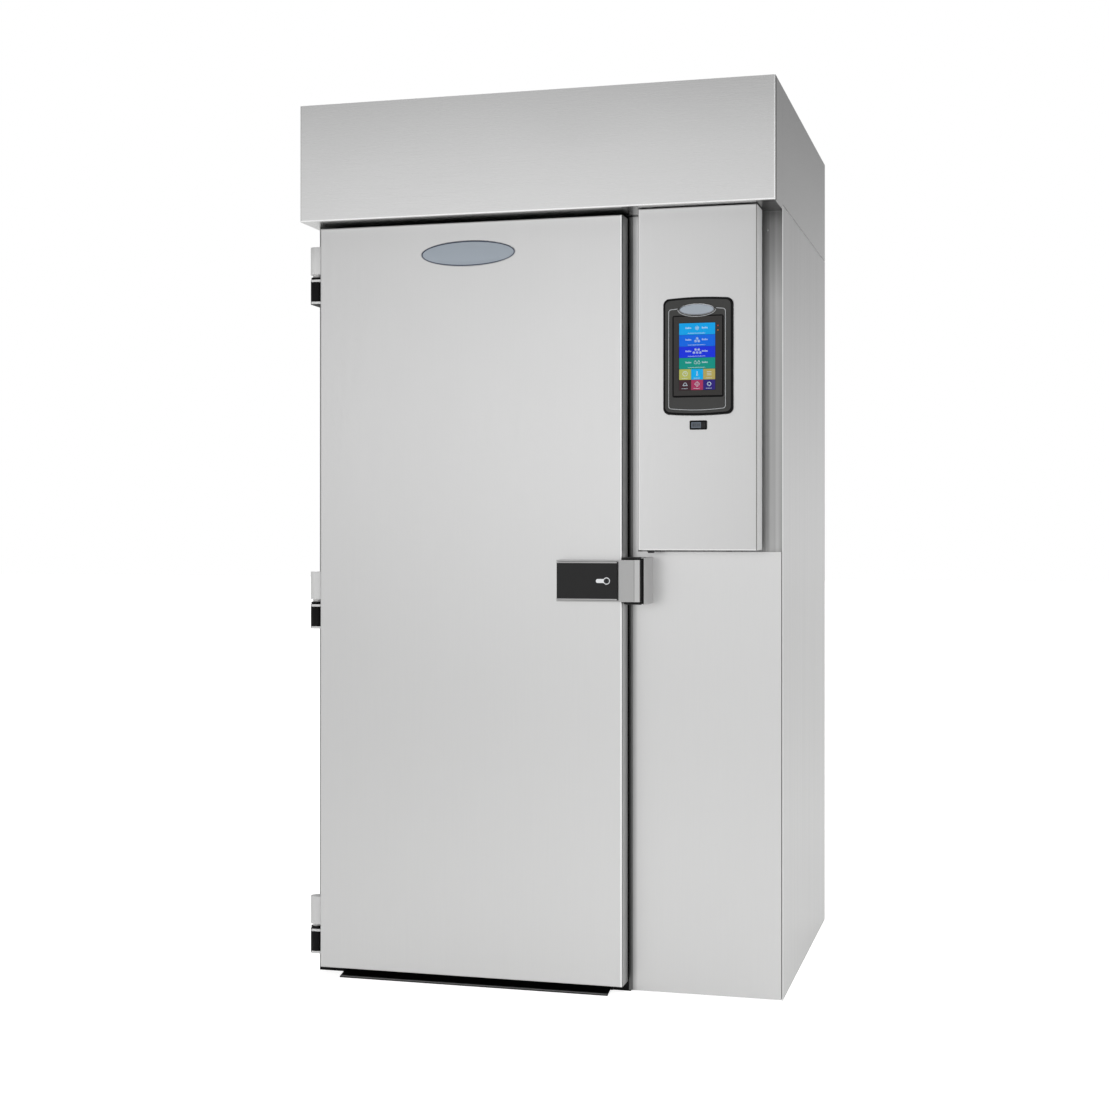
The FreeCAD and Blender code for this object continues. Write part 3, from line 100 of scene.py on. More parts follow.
# %% Two helpers for materials
def linear(colour):
    """The linear colour of an sRGB hex value such as C8CCD0."""
    parts = [int(colour[place:place + 2], 16) / 255 for place in (0, 2, 4)]
    return [part / 12.92 if part <= 0.04045 else ((part + 0.055) / 1.055) ** 2.4 for part in parts] + [1]


def add(tree, kind, links=None, **settings):
    """Adds a node; links gives each input a plain value or another node's output."""
    made = tree.nodes.new(kind)
    for name, value in settings.items():
        setattr(made, name, value)
    for name, value in (links or {}).items():
        if isinstance(value, bpy.types.NodeSocket):
            tree.links.new(value, made.inputs[name])
        else:
            made.inputs[name].default_value = value
    return made


def blank_material(name):
    """A material with an empty tree and its output node."""
    material = bpy.data.materials.new(name)
    material.use_nodes = True
    tree = material.node_tree
    tree.nodes.clear()
    return material, tree, tree.nodes.new("ShaderNodeOutputMaterial")


print("Mid grey in linear light:", round(linear("808080")[0], 3))

# %% [markdown]
# ## Brushed stainless steel
# The sheets are stainless steel with a number 4 finish: a belt has drawn short, fine scratches
# in one direction. Real scratches are about a tenth of a millimetre wide, too fine for this
# picture, so the pattern is drawn a few times coarser. A noise that is squeezed across the
# grain and stretched along it gives the lines; it changes both the roughness and the height.
# A second, wide noise stands for the slow waves that a thin sheet has. Where belts overlapped,
# a long side sheet also has faint streaks about 25 mm wide.

# %% Brushed steel, with its grain along one axis
def stretched_noise(tree, place, grain, width, length, detail):
    """A noise that is squeezed across an axis to a width and stretched along it, in millimetres."""
    size = {axis: 1 / (width * MM) for axis in "XYZ"}
    size[grain] = 1 / (length * MM)
    squeeze = add(tree, "ShaderNodeMapping", {"Vector": place, "Scale": (size["X"], size["Y"], size["Z"])})
    return add(tree, "ShaderNodeTexNoise", {"Vector": squeeze.outputs[0], "Scale": 1.0, "Detail": detail,
                                            "Roughness": 0.55})


def within(tree, place, limits):
    """1 inside a box that (axis, low, high) limits in millimetres give, 0 outside it."""
    parts = add(tree, "ShaderNodeSeparateXYZ", {"Vector": place})
    share = None
    for axis, low, high in limits:
        near_middle = add(tree, "ShaderNodeMath", {0: parts.outputs[axis], 1: (low + high) / 2 * MM,
                                                   2: (high - low) / 2 * MM}, operation="COMPARE").outputs[0]
        share = near_middle if share is None else add(tree, "ShaderNodeMath", {0: share, 1: near_middle},
                                                      operation="MULTIPLY").outputs[0]
    return share


def brushed_steel(name, colour, grain, roughness=0.3, line=0.8, bump=0.02, wave=0.2, streak=0.0, belt=25.0,
                  satin=None, painted_light_ramp=None, painted_marks=()):
    """Steel with scratches of a width along an axis, and streaks as wide as a belt, in millimetres.

    Inside satin's limits the surface is far less metallic and scatters light more evenly. The ramp
    of painted light is an axis, the start and the end of a slow painted change of light and shade,
    and the tone at both. Each mark is limits and a gain, by which the tone is multiplied inside
    them to paint a highlight or a shade.
    """
    material, tree, output = blank_material(name)
    place = add(tree, "ShaderNodeTexCoord").outputs["Object"]
    scratches = stretched_noise(tree, place, grain, line, 140.0, 2.0)
    belts = stretched_noise(tree, place, grain, belt, 1500.0, 1.0)
    waves = add(tree, "ShaderNodeTexNoise", {"Vector": place, "Scale": 2.3, "Detail": 1.0, "Roughness": 0.4})
    rough = add(tree, "ShaderNodeMapRange", {"Value": scratches.outputs["Fac"], "From Min": 0.3,
                                             "From Max": 0.7, "To Min": roughness - 0.02,
                                             "To Max": roughness + 0.03})
    tone = add(tree, "ShaderNodeMapRange", {"Value": scratches.outputs["Fac"], "From Min": 0.25,
                                            "From Max": 0.75, "To Min": 0.985, "To Max": 1.012})
    shift = add(tree, "ShaderNodeMapRange", {"Value": belts.outputs["Fac"], "From Min": 0.3, "From Max": 0.7,
                                             "To Min": 1 - streak, "To Max": 1 + streak})
    level = add(tree, "ShaderNodeMath", {0: tone.outputs[0], 1: shift.outputs[0]}, operation="MULTIPLY")
    # Each mark paints a highlight or a shade: the tone is scaled inside its limits.
    for limits, gain in painted_marks:
        change = add(tree, "ShaderNodeMath", {0: within(tree, place, limits), 1: gain - 1, 2: 1.0},
                     operation="MULTIPLY_ADD")
        level = add(tree, "ShaderNodeMath", {0: level.outputs[0], 1: change.outputs[0]}, operation="MULTIPLY")
    # The ramp paints a slow change of light and shade along one axis.
    if painted_light_ramp:
        axis, start, end, low, high = painted_light_ramp
        along = add(tree, "ShaderNodeSeparateXYZ", {"Vector": place}).outputs[axis]
        change = add(tree, "ShaderNodeMapRange", {"Value": along, "From Min": start * MM,
                                                  "From Max": end * MM, "To Min": low, "To Max": high})
        level = add(tree, "ShaderNodeMath", {0: level.outputs[0], 1: change.outputs[0]}, operation="MULTIPLY")
    tint = add(tree, "ShaderNodeVectorMath", {0: linear(colour)[:3], "Scale": level.outputs[0]},
               operation="SCALE")
    fine = add(tree, "ShaderNodeBump", {"Height": scratches.outputs["Fac"], "Strength": bump,
                                        "Distance": 0.4 * MM})
    slow = add(tree, "ShaderNodeBump", {"Height": waves.outputs["Fac"], "Strength": wave,
                                        "Distance": 6 * MM, "Normal": fine.outputs[0]})
    steel = add(tree, "ShaderNodeBsdfPrincipled", {"Base Color": tint.outputs[0], "Metallic": 1.0,
                                                   "Roughness": rough.outputs[0],
                                                   "Normal": slow.outputs[0]})
    if satin:
        metal = add(tree, "ShaderNodeMath", {0: within(tree, place, satin), 1: -0.85, 2: 1.0},
                    operation="MULTIPLY_ADD")
        tree.links.new(metal.outputs[0], steel.inputs["Metallic"])
    tree.links.new(steel.outputs[0], output.inputs["Surface"])
    return material


def corners(node):
    """A node's lowest and highest corner in millimetres."""
    low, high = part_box(node)
    return Vector(low) / MM, Vector(high) / MM


print("The door's skin in mm:", [round(value) for corner in corners("door_skin") for value in corner])

# %% [markdown]
# ## Painted light and dark strips
# A fold or a chamfer catches the light or turns away from it, so it shows as a narrow strip that
# is lighter or darker than the sheet. These highlights and shadows are painted: each strip is a
# mark, with limits in millimetres along some of the axes and a gain by which the metal's tone is
# multiplied inside them.

# %% Where highlights and shade are painted on the metal
hood_low, hood_high = corners("hood_fascia")
panel_right = corners("hood_right_panel")[1].x
door_low, door_high = corners("door_skin")
box_low, box_high = corners("control_box")
cover_low, cover_high = corners("column_cover")
side_low, side_high = corners("right_side_skin")
housing_low, housing_high = corners("latch_housing")
case_low, case_high = corners("strike_case")
CHAMFER_RUN, CHAMFER = 18.0, 8.0
chamfer_start = housing_high.x - CHAMFER_RUN
# Painted highlights along the hood's lower and right front folds, and painted shade behind the right fold and
# on the underside above the box.
HOOD_PAINTED_LIGHT = (
    ((("X", panel_right - 2, panel_right + 2), ("Y", hood_low.y + 2, hood_low.y + 20)), 0.06),
    ((("X", box_high.x, panel_right), ("Y", hood_low.y + 6, 0), ("Z", hood_low.z - 1, hood_low.z + 3)), 0.4),
    ((("Y", hood_low.y - 1, hood_low.y + 1.5), ("Z", hood_low.z + 1.5, hood_low.z + 4.5)), 1.4),
    ((("Y", hood_low.y - 1, hood_low.y + 1.5), ("X", panel_right - 3.6, panel_right + 1)), 1.45),
)
# A painted highlight along the door's right fold and painted shade on its flank beside it.
DOOR_PAINTED_LIGHT = (
    ((("X", door_high.x - 4.4, door_high.x - 1.2), ("Y", door_low.y - 1, door_low.y + 2)), 1.45),
    ((("X", door_high.x - 0.8, door_high.x + 1), ("Y", door_low.y + 2, door_low.y + 9)), 0.4),
)
# The box's right flank is painted bright and is less metallic there; a painted dark line runs just inside
# that fold, and painted highlights run along the left and lower folds of the front.
BOX_FLANK = (("X", box_high.x - 0.4, box_high.x + 1),)
BOX_PAINTED_LIGHT = (
    (BOX_FLANK, 1.5),
    ((("X", box_high.x - 3.4, box_high.x - 0.6),), 0.4),
    ((("X", box_low.x + 1, box_low.x + 3.6), ("Y", box_low.y - 1, box_low.y + 1.5)), 1.3),
    ((("Z", box_low.z + 1, box_low.z + 3.6), ("Y", box_low.y - 1, box_low.y + 1.5)), 1.3),
)
# A painted highlight along the front fold of the right side sheet.
SIDE_PAINTED_HIGHLIGHT = (((("X", 0, side_high.x + 1), ("Y", side_low.y - 1, side_low.y + 12)), 1.3),)
# A painted dark line where the nose's chamfer starts, and a painted highlight on the chamfer.
NOSE_PAINTED_LIGHT = (
    ((("X", chamfer_start - 0.9, chamfer_start + 0.7),), 0.66),
    ((("X", chamfer_start + 0.7, chamfer_start + 30),), 1.3),
)
# Painted shade along the right edge of the strike's front.
CASE_PAINTED_SHADE = (((("X", case_high.x - 2.6, case_high.x - 0.8), ("Y", case_low.y - 1, case_low.y + 2)), 0.55),)
# Where the painted shade at the hood's top, on the panel behind the box and along the jamb's edge starts and
# ends.
HOOD_SHADE_START = 2230.0
STRIP_SHADE_START, STRIP_SHADE_END = 1840.0, 2075.0
COVER_SHADE_START, COVER_SHADE_END = cover_low.x + 3, cover_low.x + 17
marked = (HOOD_PAINTED_LIGHT, DOOR_PAINTED_LIGHT, BOX_PAINTED_LIGHT, SIDE_PAINTED_HIGHLIGHT, NOSE_PAINTED_LIGHT, CASE_PAINTED_SHADE)
print("Marks on the sheets and castings:", sum(len(painted_marks) for painted_marks in marked))

# %% [markdown]
# ## The steel and zinc finishes
# Each outer sheet has its own finish, because its painted highlights and shade and its slow painted
# change of light are its own. The panel behind the control box has a duller, streakier mill finish;
# its darker tone and its darkening toward its top are painted shade of its recess and of the hood.
# The latch and its strike look like zinc castings, one satin and one blasted with beads, and the
# trims on the jamb and the ramp are a darker steel.

# %% Finishes for the sheets and the latch
# Each ramp below is painted light and shade: the door lighter to the right, the hood darker at its top, the
# side sheets lighter toward their tops, the cover darker along its edge by the door and the box darker to the
# right.
upright_steel = brushed_steel("brushed_stainless_upright", "CFCFCF", "Z", painted_marks=DOOR_PAINTED_LIGHT,
                              painted_light_ramp=("X", door_low.x, door_high.x, 0.97, 1.07))
level_steel = brushed_steel("brushed_stainless_level", "D4D4D4", "X", roughness=0.25, painted_marks=HOOD_PAINTED_LIGHT,
                            painted_light_ramp=("Z", HOOD_SHADE_START, hood_high.z, 1.0, 0.92))
side_steel = brushed_steel("brushed_stainless_side", "CFCFCF", "Z", streak=0.03, painted_marks=SIDE_PAINTED_HIGHLIGHT,
                           painted_light_ramp=("Z", 0.0, side_high.z, 0.97, 1.06))
cover_steel = brushed_steel("brushed_stainless_cover", "D5D5D5", "Z",
                            painted_light_ramp=("X", COVER_SHADE_START, COVER_SHADE_END, 0.55, 1.0))
box_steel = brushed_steel("brushed_stainless_box", "CFCFCF", "Z", satin=BOX_FLANK, painted_marks=BOX_PAINTED_LIGHT,
                          painted_light_ramp=("X", box_low.x, box_high.x, 1.04, 0.95))
satin_zinc = brushed_steel("satin_zinc_casting", "B0B0B0", "Z", roughness=0.36, painted_marks=NOSE_PAINTED_LIGHT)
case_zinc = brushed_steel("bead_blasted_zinc_casting", "CCCCCC", "Z", roughness=0.42, painted_marks=CASE_PAINTED_SHADE)
dark_trim = brushed_steel("annealed_stainless_trim", "767676", "Z", roughness=0.42)
# Its darker tone and its darkening toward the top under the hood are painted shade of the recess; the rough,
# streaky grain is the mill finish.
mill_steel_and_shade = brushed_steel("mill_stainless_and_painted_shade", "B9B9B9", "Z", roughness=0.4, line=1.6,
                           streak=0.16, belt=8.0,
                           painted_light_ramp=("Z", STRIP_SHADE_START, STRIP_SHADE_END, 1.0, 0.42))
liner_steel = brushed_steel("brushed_stainless_liner", "C4C4C4", "Z", roughness=0.34)
floor_steel = brushed_steel("brushed_stainless_floor", "B6B6B6", "Y", roughness=0.38)
print("Steel finishes:", [item.name for item in bpy.data.materials if "stainless" in item.name])

# %% [markdown]
# ## Cast, plated and galvanised metals
# The hinge leaves have a light grey powder coat with a fine orange-peel surface. Screws are
# zinc-plated and the lock's body is polished. The rear sheet and the frames inside are
# galvanised: their zinc froze in flat crystals, which a Voronoi pattern draws.

# %% Powder coat, plating, zinc, aluminium and copper
def grained(name, colour, roughness, metallic=0.0, grain=0.6, bump=0.1, ior=1.5, mottle=0.06,
            sheen_level=0.5):
    """A moulded, cast or painted surface; grain is the size of its texture in millimetres."""
    material, tree, output = blank_material(name)
    place = add(tree, "ShaderNodeTexCoord").outputs["Object"]
    texture = add(tree, "ShaderNodeTexNoise", {"Vector": place, "Scale": 1 / (grain * MM), "Detail": 3.0})
    cloud = add(tree, "ShaderNodeTexNoise", {"Vector": place, "Scale": 9.0, "Detail": 2.0})
    rough = add(tree, "ShaderNodeMapRange", {"Value": cloud.outputs["Fac"], "To Min": roughness - 0.06,
                                             "To Max": roughness + 0.06})
    tone = add(tree, "ShaderNodeMapRange", {"Value": texture.outputs["Fac"], "To Min": 1 - mottle,
                                            "To Max": 1 + mottle})
    tint = add(tree, "ShaderNodeVectorMath", {0: linear(colour)[:3], "Scale": tone.outputs[0]},
               operation="SCALE")
    peel = add(tree, "ShaderNodeBump", {"Height": texture.outputs["Fac"], "Strength": bump,
                                        "Distance": 0.2 * MM})
    surface = add(tree, "ShaderNodeBsdfPrincipled", {"Base Color": tint.outputs[0], "Metallic": metallic,
                                                     "Roughness": rough.outputs[0], "IOR": ior,
                                                     "Specular IOR Level": sheen_level,
                                                     "Normal": peel.outputs[0]})
    tree.links.new(surface.outputs[0], output.inputs["Surface"])
    return material


def galvanised_sheet(name, colour):
    """Zinc-coated sheet with crystals about 12 mm across."""
    material, tree, output = blank_material(name)
    place = add(tree, "ShaderNodeTexCoord").outputs["Object"]
    crystals = add(tree, "ShaderNodeTexVoronoi", {"Vector": place, "Scale": 1 / 0.012})
    level = add(tree, "ShaderNodeSeparateColor", {"Color": crystals.outputs["Color"]})
    rough = add(tree, "ShaderNodeMapRange", {"Value": level.outputs["Red"], "To Min": 0.32, "To Max": 0.5})
    tone = add(tree, "ShaderNodeMapRange", {"Value": level.outputs["Green"], "To Min": 0.84, "To Max": 1.05})
    tint = add(tree, "ShaderNodeVectorMath", {0: linear(colour)[:3], "Scale": tone.outputs[0]},
               operation="SCALE")
    zinc = add(tree, "ShaderNodeBsdfPrincipled", {"Base Color": tint.outputs[0], "Metallic": 1.0,
                                                  "Roughness": rough.outputs[0]})
    tree.links.new(zinc.outputs[0], output.inputs["Surface"])
    return material


grey_powder = grained("powder_coated_zinc", "D6D6D6", 0.42, grain=0.7, mottle=0.04)
pale_zinc = grained("pale_zinc_casting", "B4B4B4", 0.4, metallic=1.0, grain=0.5, bump=0.05, mottle=0.03)
polished_chrome = grained("polished_chrome", "D6D8DA", 0.12, metallic=1.0, bump=0.01, mottle=0.01)
dark_core = grained("burnished_steel", "3A3B3D", 0.36, metallic=1.0, bump=0.03)
zinc_plate = grained("zinc_plated_steel", "B9BABB", 0.28, metallic=1.0, bump=0.03, mottle=0.03)
satin_aluminium = grained("satin_aluminium", "CDD0D3", 0.36, metallic=1.0, bump=0.05, mottle=0.04)
copper_tube = grained("copper_tube", "C07A55", 0.27, metallic=1.0, bump=0.03, mottle=0.07)
galvanised = galvanised_sheet("galvanised_sheet", "B4B9BC")
print("Metals made:", len(bpy.data.materials))

# %% [markdown]
# ## Plastics, rubber and foam
# The controller's frame is moulded ABS with a fine spark-eroded texture, the door seal is a
# soft PVC rubber, and the fans are glass-filled polyamide. They differ by how wide and how
# bright their highlight is: ABS has a clear sheen, rubber almost none.

# %% Black ABS, rubber, polyamide and the rest
black_abs = grained("black_abs", "141415", 0.4, grain=0.8, bump=0.12, ior=1.54, sheen_level=0.3)
charcoal_abs = grained("charcoal_abs", "393938", 0.46, grain=0.6, bump=0.15, ior=1.54, sheen_level=0.3)
gloss_black = grained("gloss_black_abs", "070708", 0.2, grain=2.0, bump=0.0, ior=1.54, sheen_level=0.1)
smoked_glass = grained("smoked_glass", "2E2C2B", 0.12, grain=2.0, bump=0.0, ior=1.5, sheen_level=0.2)
seal_rubber = grained("pvc_seal_rubber", "141415", 0.62, grain=1.2, bump=0.1, ior=1.52)
black_polyamide = grained("glass_filled_polyamide", "232325", 0.5, grain=0.9, bump=0.2, ior=1.53)
jet_polyamide = grained("jet_black_polyamide", "0B0B0C", 0.5, grain=0.9, bump=0.15, ior=1.53,
                        sheen_level=0.12)
grey_polycarbonate = grained("grey_polycarbonate", "AEB1B2", 0.4, grain=1.0, ior=1.58)
puffed_foam = grained("polyurethane_foam", "D9CBA0", 0.85, grain=1.8, bump=0.5, ior=1.5)
pipe_sleeve = grained("elastomer_pipe_foam", "161617", 0.8, grain=1.5, bump=0.4, ior=1.5)
green_laminate = grained("green_circuit_laminate", "14532E", 0.35, grain=0.5, ior=1.55)
print("Materials in all:", len(bpy.data.materials))

# %% [markdown]
# ## Dressing the CAD nodes
# Each node of the model keeps its shape and gets a material that looks like its piece. Sheets
# whose long side runs upright are brushed upright; the hood is brushed along its length.

# %% Which node is made of what
FINISHES = {
    level_steel: ("hood_fascia", "hood_left_panel", "hood_right_panel"),
    upright_steel: ("door_skin",),
    side_steel: ("left_side_skin", "right_side_skin"),
    cover_steel: ("column_cover",),
    box_steel: ("control_box",),
    mill_steel_and_shade: ("column_panel",),
    liner_steel: ("left_wall_panel", "right_wall_panel", "rear_wall_panel", "header_panel",
                  "ceiling_panel", "door_liner", "fan_wall", "rack_rails", "drain_pan"),
    floor_steel: ("floor_panel", "threshold_sill"),
    galvanised: ("rear_skin", "hood_rear_brace", "electrical_plate", "fan_frames", "coil_ends",
                 "coil_supports"),
    grey_powder: ("hinge_leaves",),
    satin_zinc: ("latch_housing",),
    case_zinc: ("strike_case",),
    zinc_plate: ("transformer", "fan_guards"),
    satin_aluminium: ("coil_fins", "fan_motors"),
    copper_tube: ("suction_pipe", "liquid_pipe", "solenoid_valve"),
    black_abs: ("latch_lever", "data_port", "controller_module"),
    jet_polyamide: ("hinge_arms", "hinge_pins", "strike_liner", "door_frame_breaker", "entry_ramp"),
    charcoal_abs: ("controller_bezel",),
    smoked_glass: ("touch_glass",),
    seal_rubber: ("door_seals",),
    black_polyamide: ("fan_rotor_1", "fan_rotor_2", "fan_rotor_3", "latch_tongue", "box_pivots"),
    grey_polycarbonate: ("contactors_and_terminals", "roof_box", "inside_release"),
    polished_chrome: ("lock_body",),
    dark_core: ("lock_plug",),
    puffed_foam: ("door_foam",),
    green_laminate: ("relay_board",),
}
for finish, names in FINISHES.items():
    for name in names:
        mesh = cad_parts[name].data
        mesh.materials.clear()
        mesh.materials.append(finish)
dressed = {name for names in FINISHES.values() for name in names}
print("Nodes dressed:", len(dressed), "of", len(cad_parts))

# %% [markdown]
# ## Soft edges on the CAD nodes
# Castings and mouldings never have razor edges. A CAD node's mesh is loose triangles, so a Weld
# modifier joins them first, and a small Bevel then rounds each sharp edge. The shape and the
# size stay as they are; only the highlight along each edge is new.

# %% Round the sharp edges of cast and moulded nodes
def soften(node, width, segments=2):
    """Rounds a node's sharp edges with live modifiers; width is in millimetres."""
    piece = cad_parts[node]
    weld = piece.modifiers.new("join_triangles", "WELD")
    weld.merge_threshold = 0.01 * MM
    bevel = piece.modifiers.new("round_edges", "BEVEL")
    bevel.width = width * MM
    bevel.segments = segments
    bevel.limit_method = "ANGLE"
    bevel.angle_limit = math.radians(35)
    bevel.harden_normals = False
    return piece


SOFT_EDGES = {"latch_housing": 1.2, "strike_case": 0.6, "strike_liner": 0.8, "hinge_leaves": 1.6,
              "hinge_arms": 1.6, "roof_box": 1.0, "contactors_and_terminals": 0.8, "latch_lever": 0.6,
              "rack_rails": 1.5, "transformer": 1.0, "left_side_skin": 1.2, "right_side_skin": 1.2}
for name, width in SOFT_EDGES.items():
    soften(name, width)
print("Nodes with soft edges:", len(SOFT_EDGES))

# %% [markdown]
# ## Building pieces from rings
# Most of the added pieces are lofts: a row of rings with the same number of points, joined by
# faces. One function makes the ring of a rounded rectangle, with an arch on its upper and lower
# side if asked, and another joins the rings and closes both ends.

# %% Rings, lofts and pieces
def rounded_ring(half_width, half_height, corner, arch=0.0, corner_steps=7, side_steps=8):
    """Points (x, z) round a rounded rectangle about the origin, counter-clockwise from the right."""
    points = []
    inner_x, inner_z = half_width - corner, half_height - corner
    quarters = ((inner_x, inner_z, 0), (-inner_x, inner_z, 90), (-inner_x, -inner_z, 180),
                (inner_x, -inner_z, 270))
    for number, (x, z, start) in enumerate(quarters):
        for step in range(corner_steps + 1):
            turn = math.radians(start + 90 * step / corner_steps)
            points.append((x + corner * math.cos(turn), z + corner * math.sin(turn)))
        end_x, end_z = points[-1]
        next_x, next_z, next_start = quarters[(number + 1) % 4]
        turn = math.radians(next_start)
        goal_x, goal_z = next_x + corner * math.cos(turn), next_z + corner * math.sin(turn)
        for step in range(1, side_steps):
            share = step / side_steps
            points.append((end_x + (goal_x - end_x) * share, end_z + (goal_z - end_z) * share))
    return [(x, z + math.copysign(arch * (1 - (x / half_width) ** 2), z)) for x, z in points]


def loft(name, rings, close_ends=(True, True), material_of=None):
    """A mesh through rings of points in millimetres; material_of gives each band's slot."""
    builder = bmesh.new()
    rows = [[builder.verts.new(Vector(point) * MM) for point in ring] for ring in rings]
    count = len(rows[0])
    for band, (one, other) in enumerate(zip(rows, rows[1:])):
        for place in range(count):
            following = (place + 1) % count
            face = builder.faces.new((one[place], one[following], other[following], other[place]))
            if material_of:
                face.material_index = material_of[band]
    for row, closes in ((rows[0], close_ends[0]), (rows[-1], close_ends[1])):
        if closes:
            builder.faces.new(row)
    bmesh.ops.recalc_face_normals(builder, faces=builder.faces)
    mesh = bpy.data.meshes.new(name)
    builder.to_mesh(mesh)
    builder.free()
    return mesh


def piece_of(name, mesh, body, *materials, smooth=35):
    """Puts a mesh into the scene as a piece that rides on a body."""
    for material in materials:
        mesh.materials.append(material)
    for face in mesh.polygons:
        face.use_smooth = True
    mesh.set_sharp_from_angle(angle=math.radians(smooth))
    piece = bpy.data.objects.new(name, mesh)
    bpy.context.collection.objects.link(piece)
    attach(piece, body)
    return piece


print("Points in a ring:", len(rounded_ring(10, 10, 2)))

# %% [markdown]
# ## The controller's frame
# The frame is one moulding: a glossy rounded rim, a matte charcoal face and a shallow lip that
# holds the glass. Its upper and lower sides are slightly arched. The loft runs from the back of
# the rim over its rounded edge to the lip, and each band of faces gets its own plastic.

# %% Loft the controller's frame
bezel_low, bezel_high = corners("controller_bezel")
glass_low, glass_high = corners("touch_glass")
BEZEL_ARCH = 4.5
bezel_x = (bezel_low.x + bezel_high.x) / 2
bezel_z = (bezel_low.z + bezel_high.z) / 2
bezel_half_x = (bezel_high.x - bezel_low.x) / 2
bezel_half_z = (bezel_high.z - bezel_low.z) / 2 - BEZEL_ARCH
glass_half_x = (glass_high.x - glass_low.x) / 2
glass_half_z = (glass_high.z - glass_low.z) / 2


def front_ring(points, y, centre_x=bezel_x, centre_z=bezel_z):
    """A ring of (x, z) points set upright at a depth y."""
    return [(centre_x + x, y, centre_z + z) for x, z in points]


RIM_STEPS = ((0.0, 0.0), (0.0, 5.0), (0.5, 6.6), (1.8, 7.7), (3.4, 8.0), (6.0, 8.0), (7.0, 7.4))
rings = []
for inset, height in RIM_STEPS:
    outline = rounded_ring(bezel_half_x - inset, bezel_half_z - inset, 15 - inset * 0.6, BEZEL_ARCH)
    rings.append(front_ring(outline, bezel_high.y - height))
for margin, height in ((6.0, 7.4), (4.0, 6.4), (0.5, 6.4)):
    outline = rounded_ring(glass_half_x + margin, glass_half_z + margin, 5.0)
    rings.append(front_ring(outline, bezel_high.y - height))
frame_mesh = loft("controller_frame", rings, close_ends=(False, False),
                  material_of=(0, 0, 0, 0, 0, 1, 1, 1, 0))
controller_frame = piece_of("controller_frame", frame_mesh, "control_box", gloss_black, charcoal_abs)
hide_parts("controller_bezel")
print("Controller frame:", len(frame_mesh.polygons), "faces")

# %% [markdown]
# ## The touch screen
# The lit area lies under a thin coated glass, so its colours glow a little and carry only a faint
# reflection. It shows four broad keys and six small ones. The signs on them are generic: snow
# crystals for cold, a drop for thawing, a clock, a fan, a probe, a list, a bell and a gear.

# %% The colours of the lit display
def lit_glass(name, colour, glow):
    """A display colour under a glossy cover."""
    material, tree, output = blank_material(name)
    place = add(tree, "ShaderNodeTexCoord").outputs["Object"]
    dots = add(tree, "ShaderNodeTexNoise", {"Vector": place, "Scale": 1 / 0.0006, "Detail": 1.0})
    tone = add(tree, "ShaderNodeMapRange", {"Value": dots.outputs["Fac"], "To Min": 0.92, "To Max": 1.08})
    tint = add(tree, "ShaderNodeVectorMath", {0: linear(colour)[:3], "Scale": tone.outputs[0]},
               operation="SCALE")
    glass = add(tree, "ShaderNodeBsdfPrincipled", {"Base Color": tint.outputs[0], "Roughness": 0.25,
                                                   "IOR": 1.5, "Specular IOR Level": 0.15,
                                                   "Emission Color": tint.outputs[0],
                                                   "Emission Strength": glow})
    tree.links.new(glass.outputs[0], output.inputs["Surface"])
    return material


DISPLAY = {"cyan": "0098DC", "blue": "0060D6", "navy": "0C2CD0", "teal": "04887A", "khaki": "A9AC58",
           "sky": "00A0DE", "tan": "A89A55", "maroon": "3A2028", "rose": "9E3058", "violet": "2A1E70"}
display = {word: lit_glass(f"display_{word}", colour, 0.12) for word, colour in DISPLAY.items()}
display_white = lit_glass("display_white", "C4D6E0", 0.15)
display_dark = lit_glass("display_dark", "232120", 0.05)
print("Display colours:", len(display) + 2)

# %% The keys of the screen
SCREEN_LOW, SCREEN_HIGH = Vector((398.0, 1601.0)), Vector((493.0, 1775.0))
KEY_GAP = 0.5
SCREEN_Y = glass_low.y - 0.1
BROAD_KEYS = (("cyan", 0.175), ("blue", 0.175), ("navy", 0.168), ("teal", 0.168))
SMALL_KEYS = ((("khaki", "sky", "tan"), 0.160), (("maroon", "rose", "violet"), 0.154))


def flat_faces(name, outlines, depth, body, material):
    """Upright flat faces that look to the front, from outlines of (x, z) points in millimetres."""
    builder = bmesh.new()
    for outline in outlines:
        face = builder.faces.new([builder.verts.new((x * MM, depth * MM, z * MM)) for x, z in outline])
        face.normal_update()
        if face.normal.y > 0:
            face.normal_flip()
    mesh = bpy.data.meshes.new(name)
    builder.to_mesh(mesh)
    builder.free()
    return piece_of(name, mesh, body, material)


def tile(left, right, low, high):
    """The outline of a key with a small gap to its neighbours."""
    half = KEY_GAP / 2
    return [(left + half, low + half), (right - half, low + half), (right - half, high - half),
            (left + half, high - half)]


key_places = {}
top = SCREEN_HIGH.y
screen_width = SCREEN_HIGH.x - SCREEN_LOW.x
screen_height = SCREEN_HIGH.y - SCREEN_LOW.y
for word, share in BROAD_KEYS:
    low = top - share * screen_height
    key_places[word] = (SCREEN_LOW.x, SCREEN_HIGH.x, low, top)
    top = low
for words, share in SMALL_KEYS:
    low = top - share * screen_height
    for column, word in enumerate(words):
        left = SCREEN_LOW.x + column * screen_width / 3
        key_places[word] = (left, left + screen_width / 3, low, top)
    top = low
for word, (left, right, low, high) in key_places.items():
    outline = tile(left, right, low, high)
    key = flat_faces(f"screen_key_{word}", [outline], SCREEN_Y, "control_box", display[word])
dark = [(SCREEN_LOW.x - 1, SCREEN_LOW.y - 1), (SCREEN_HIGH.x + 1, SCREEN_LOW.y - 1),
        (SCREEN_HIGH.x + 1, SCREEN_HIGH.y + 1), (SCREEN_LOW.x - 1, SCREEN_HIGH.y + 1)]
flat_faces("screen_ground", [dark], SCREEN_Y + 0.05, "control_box", display_dark)
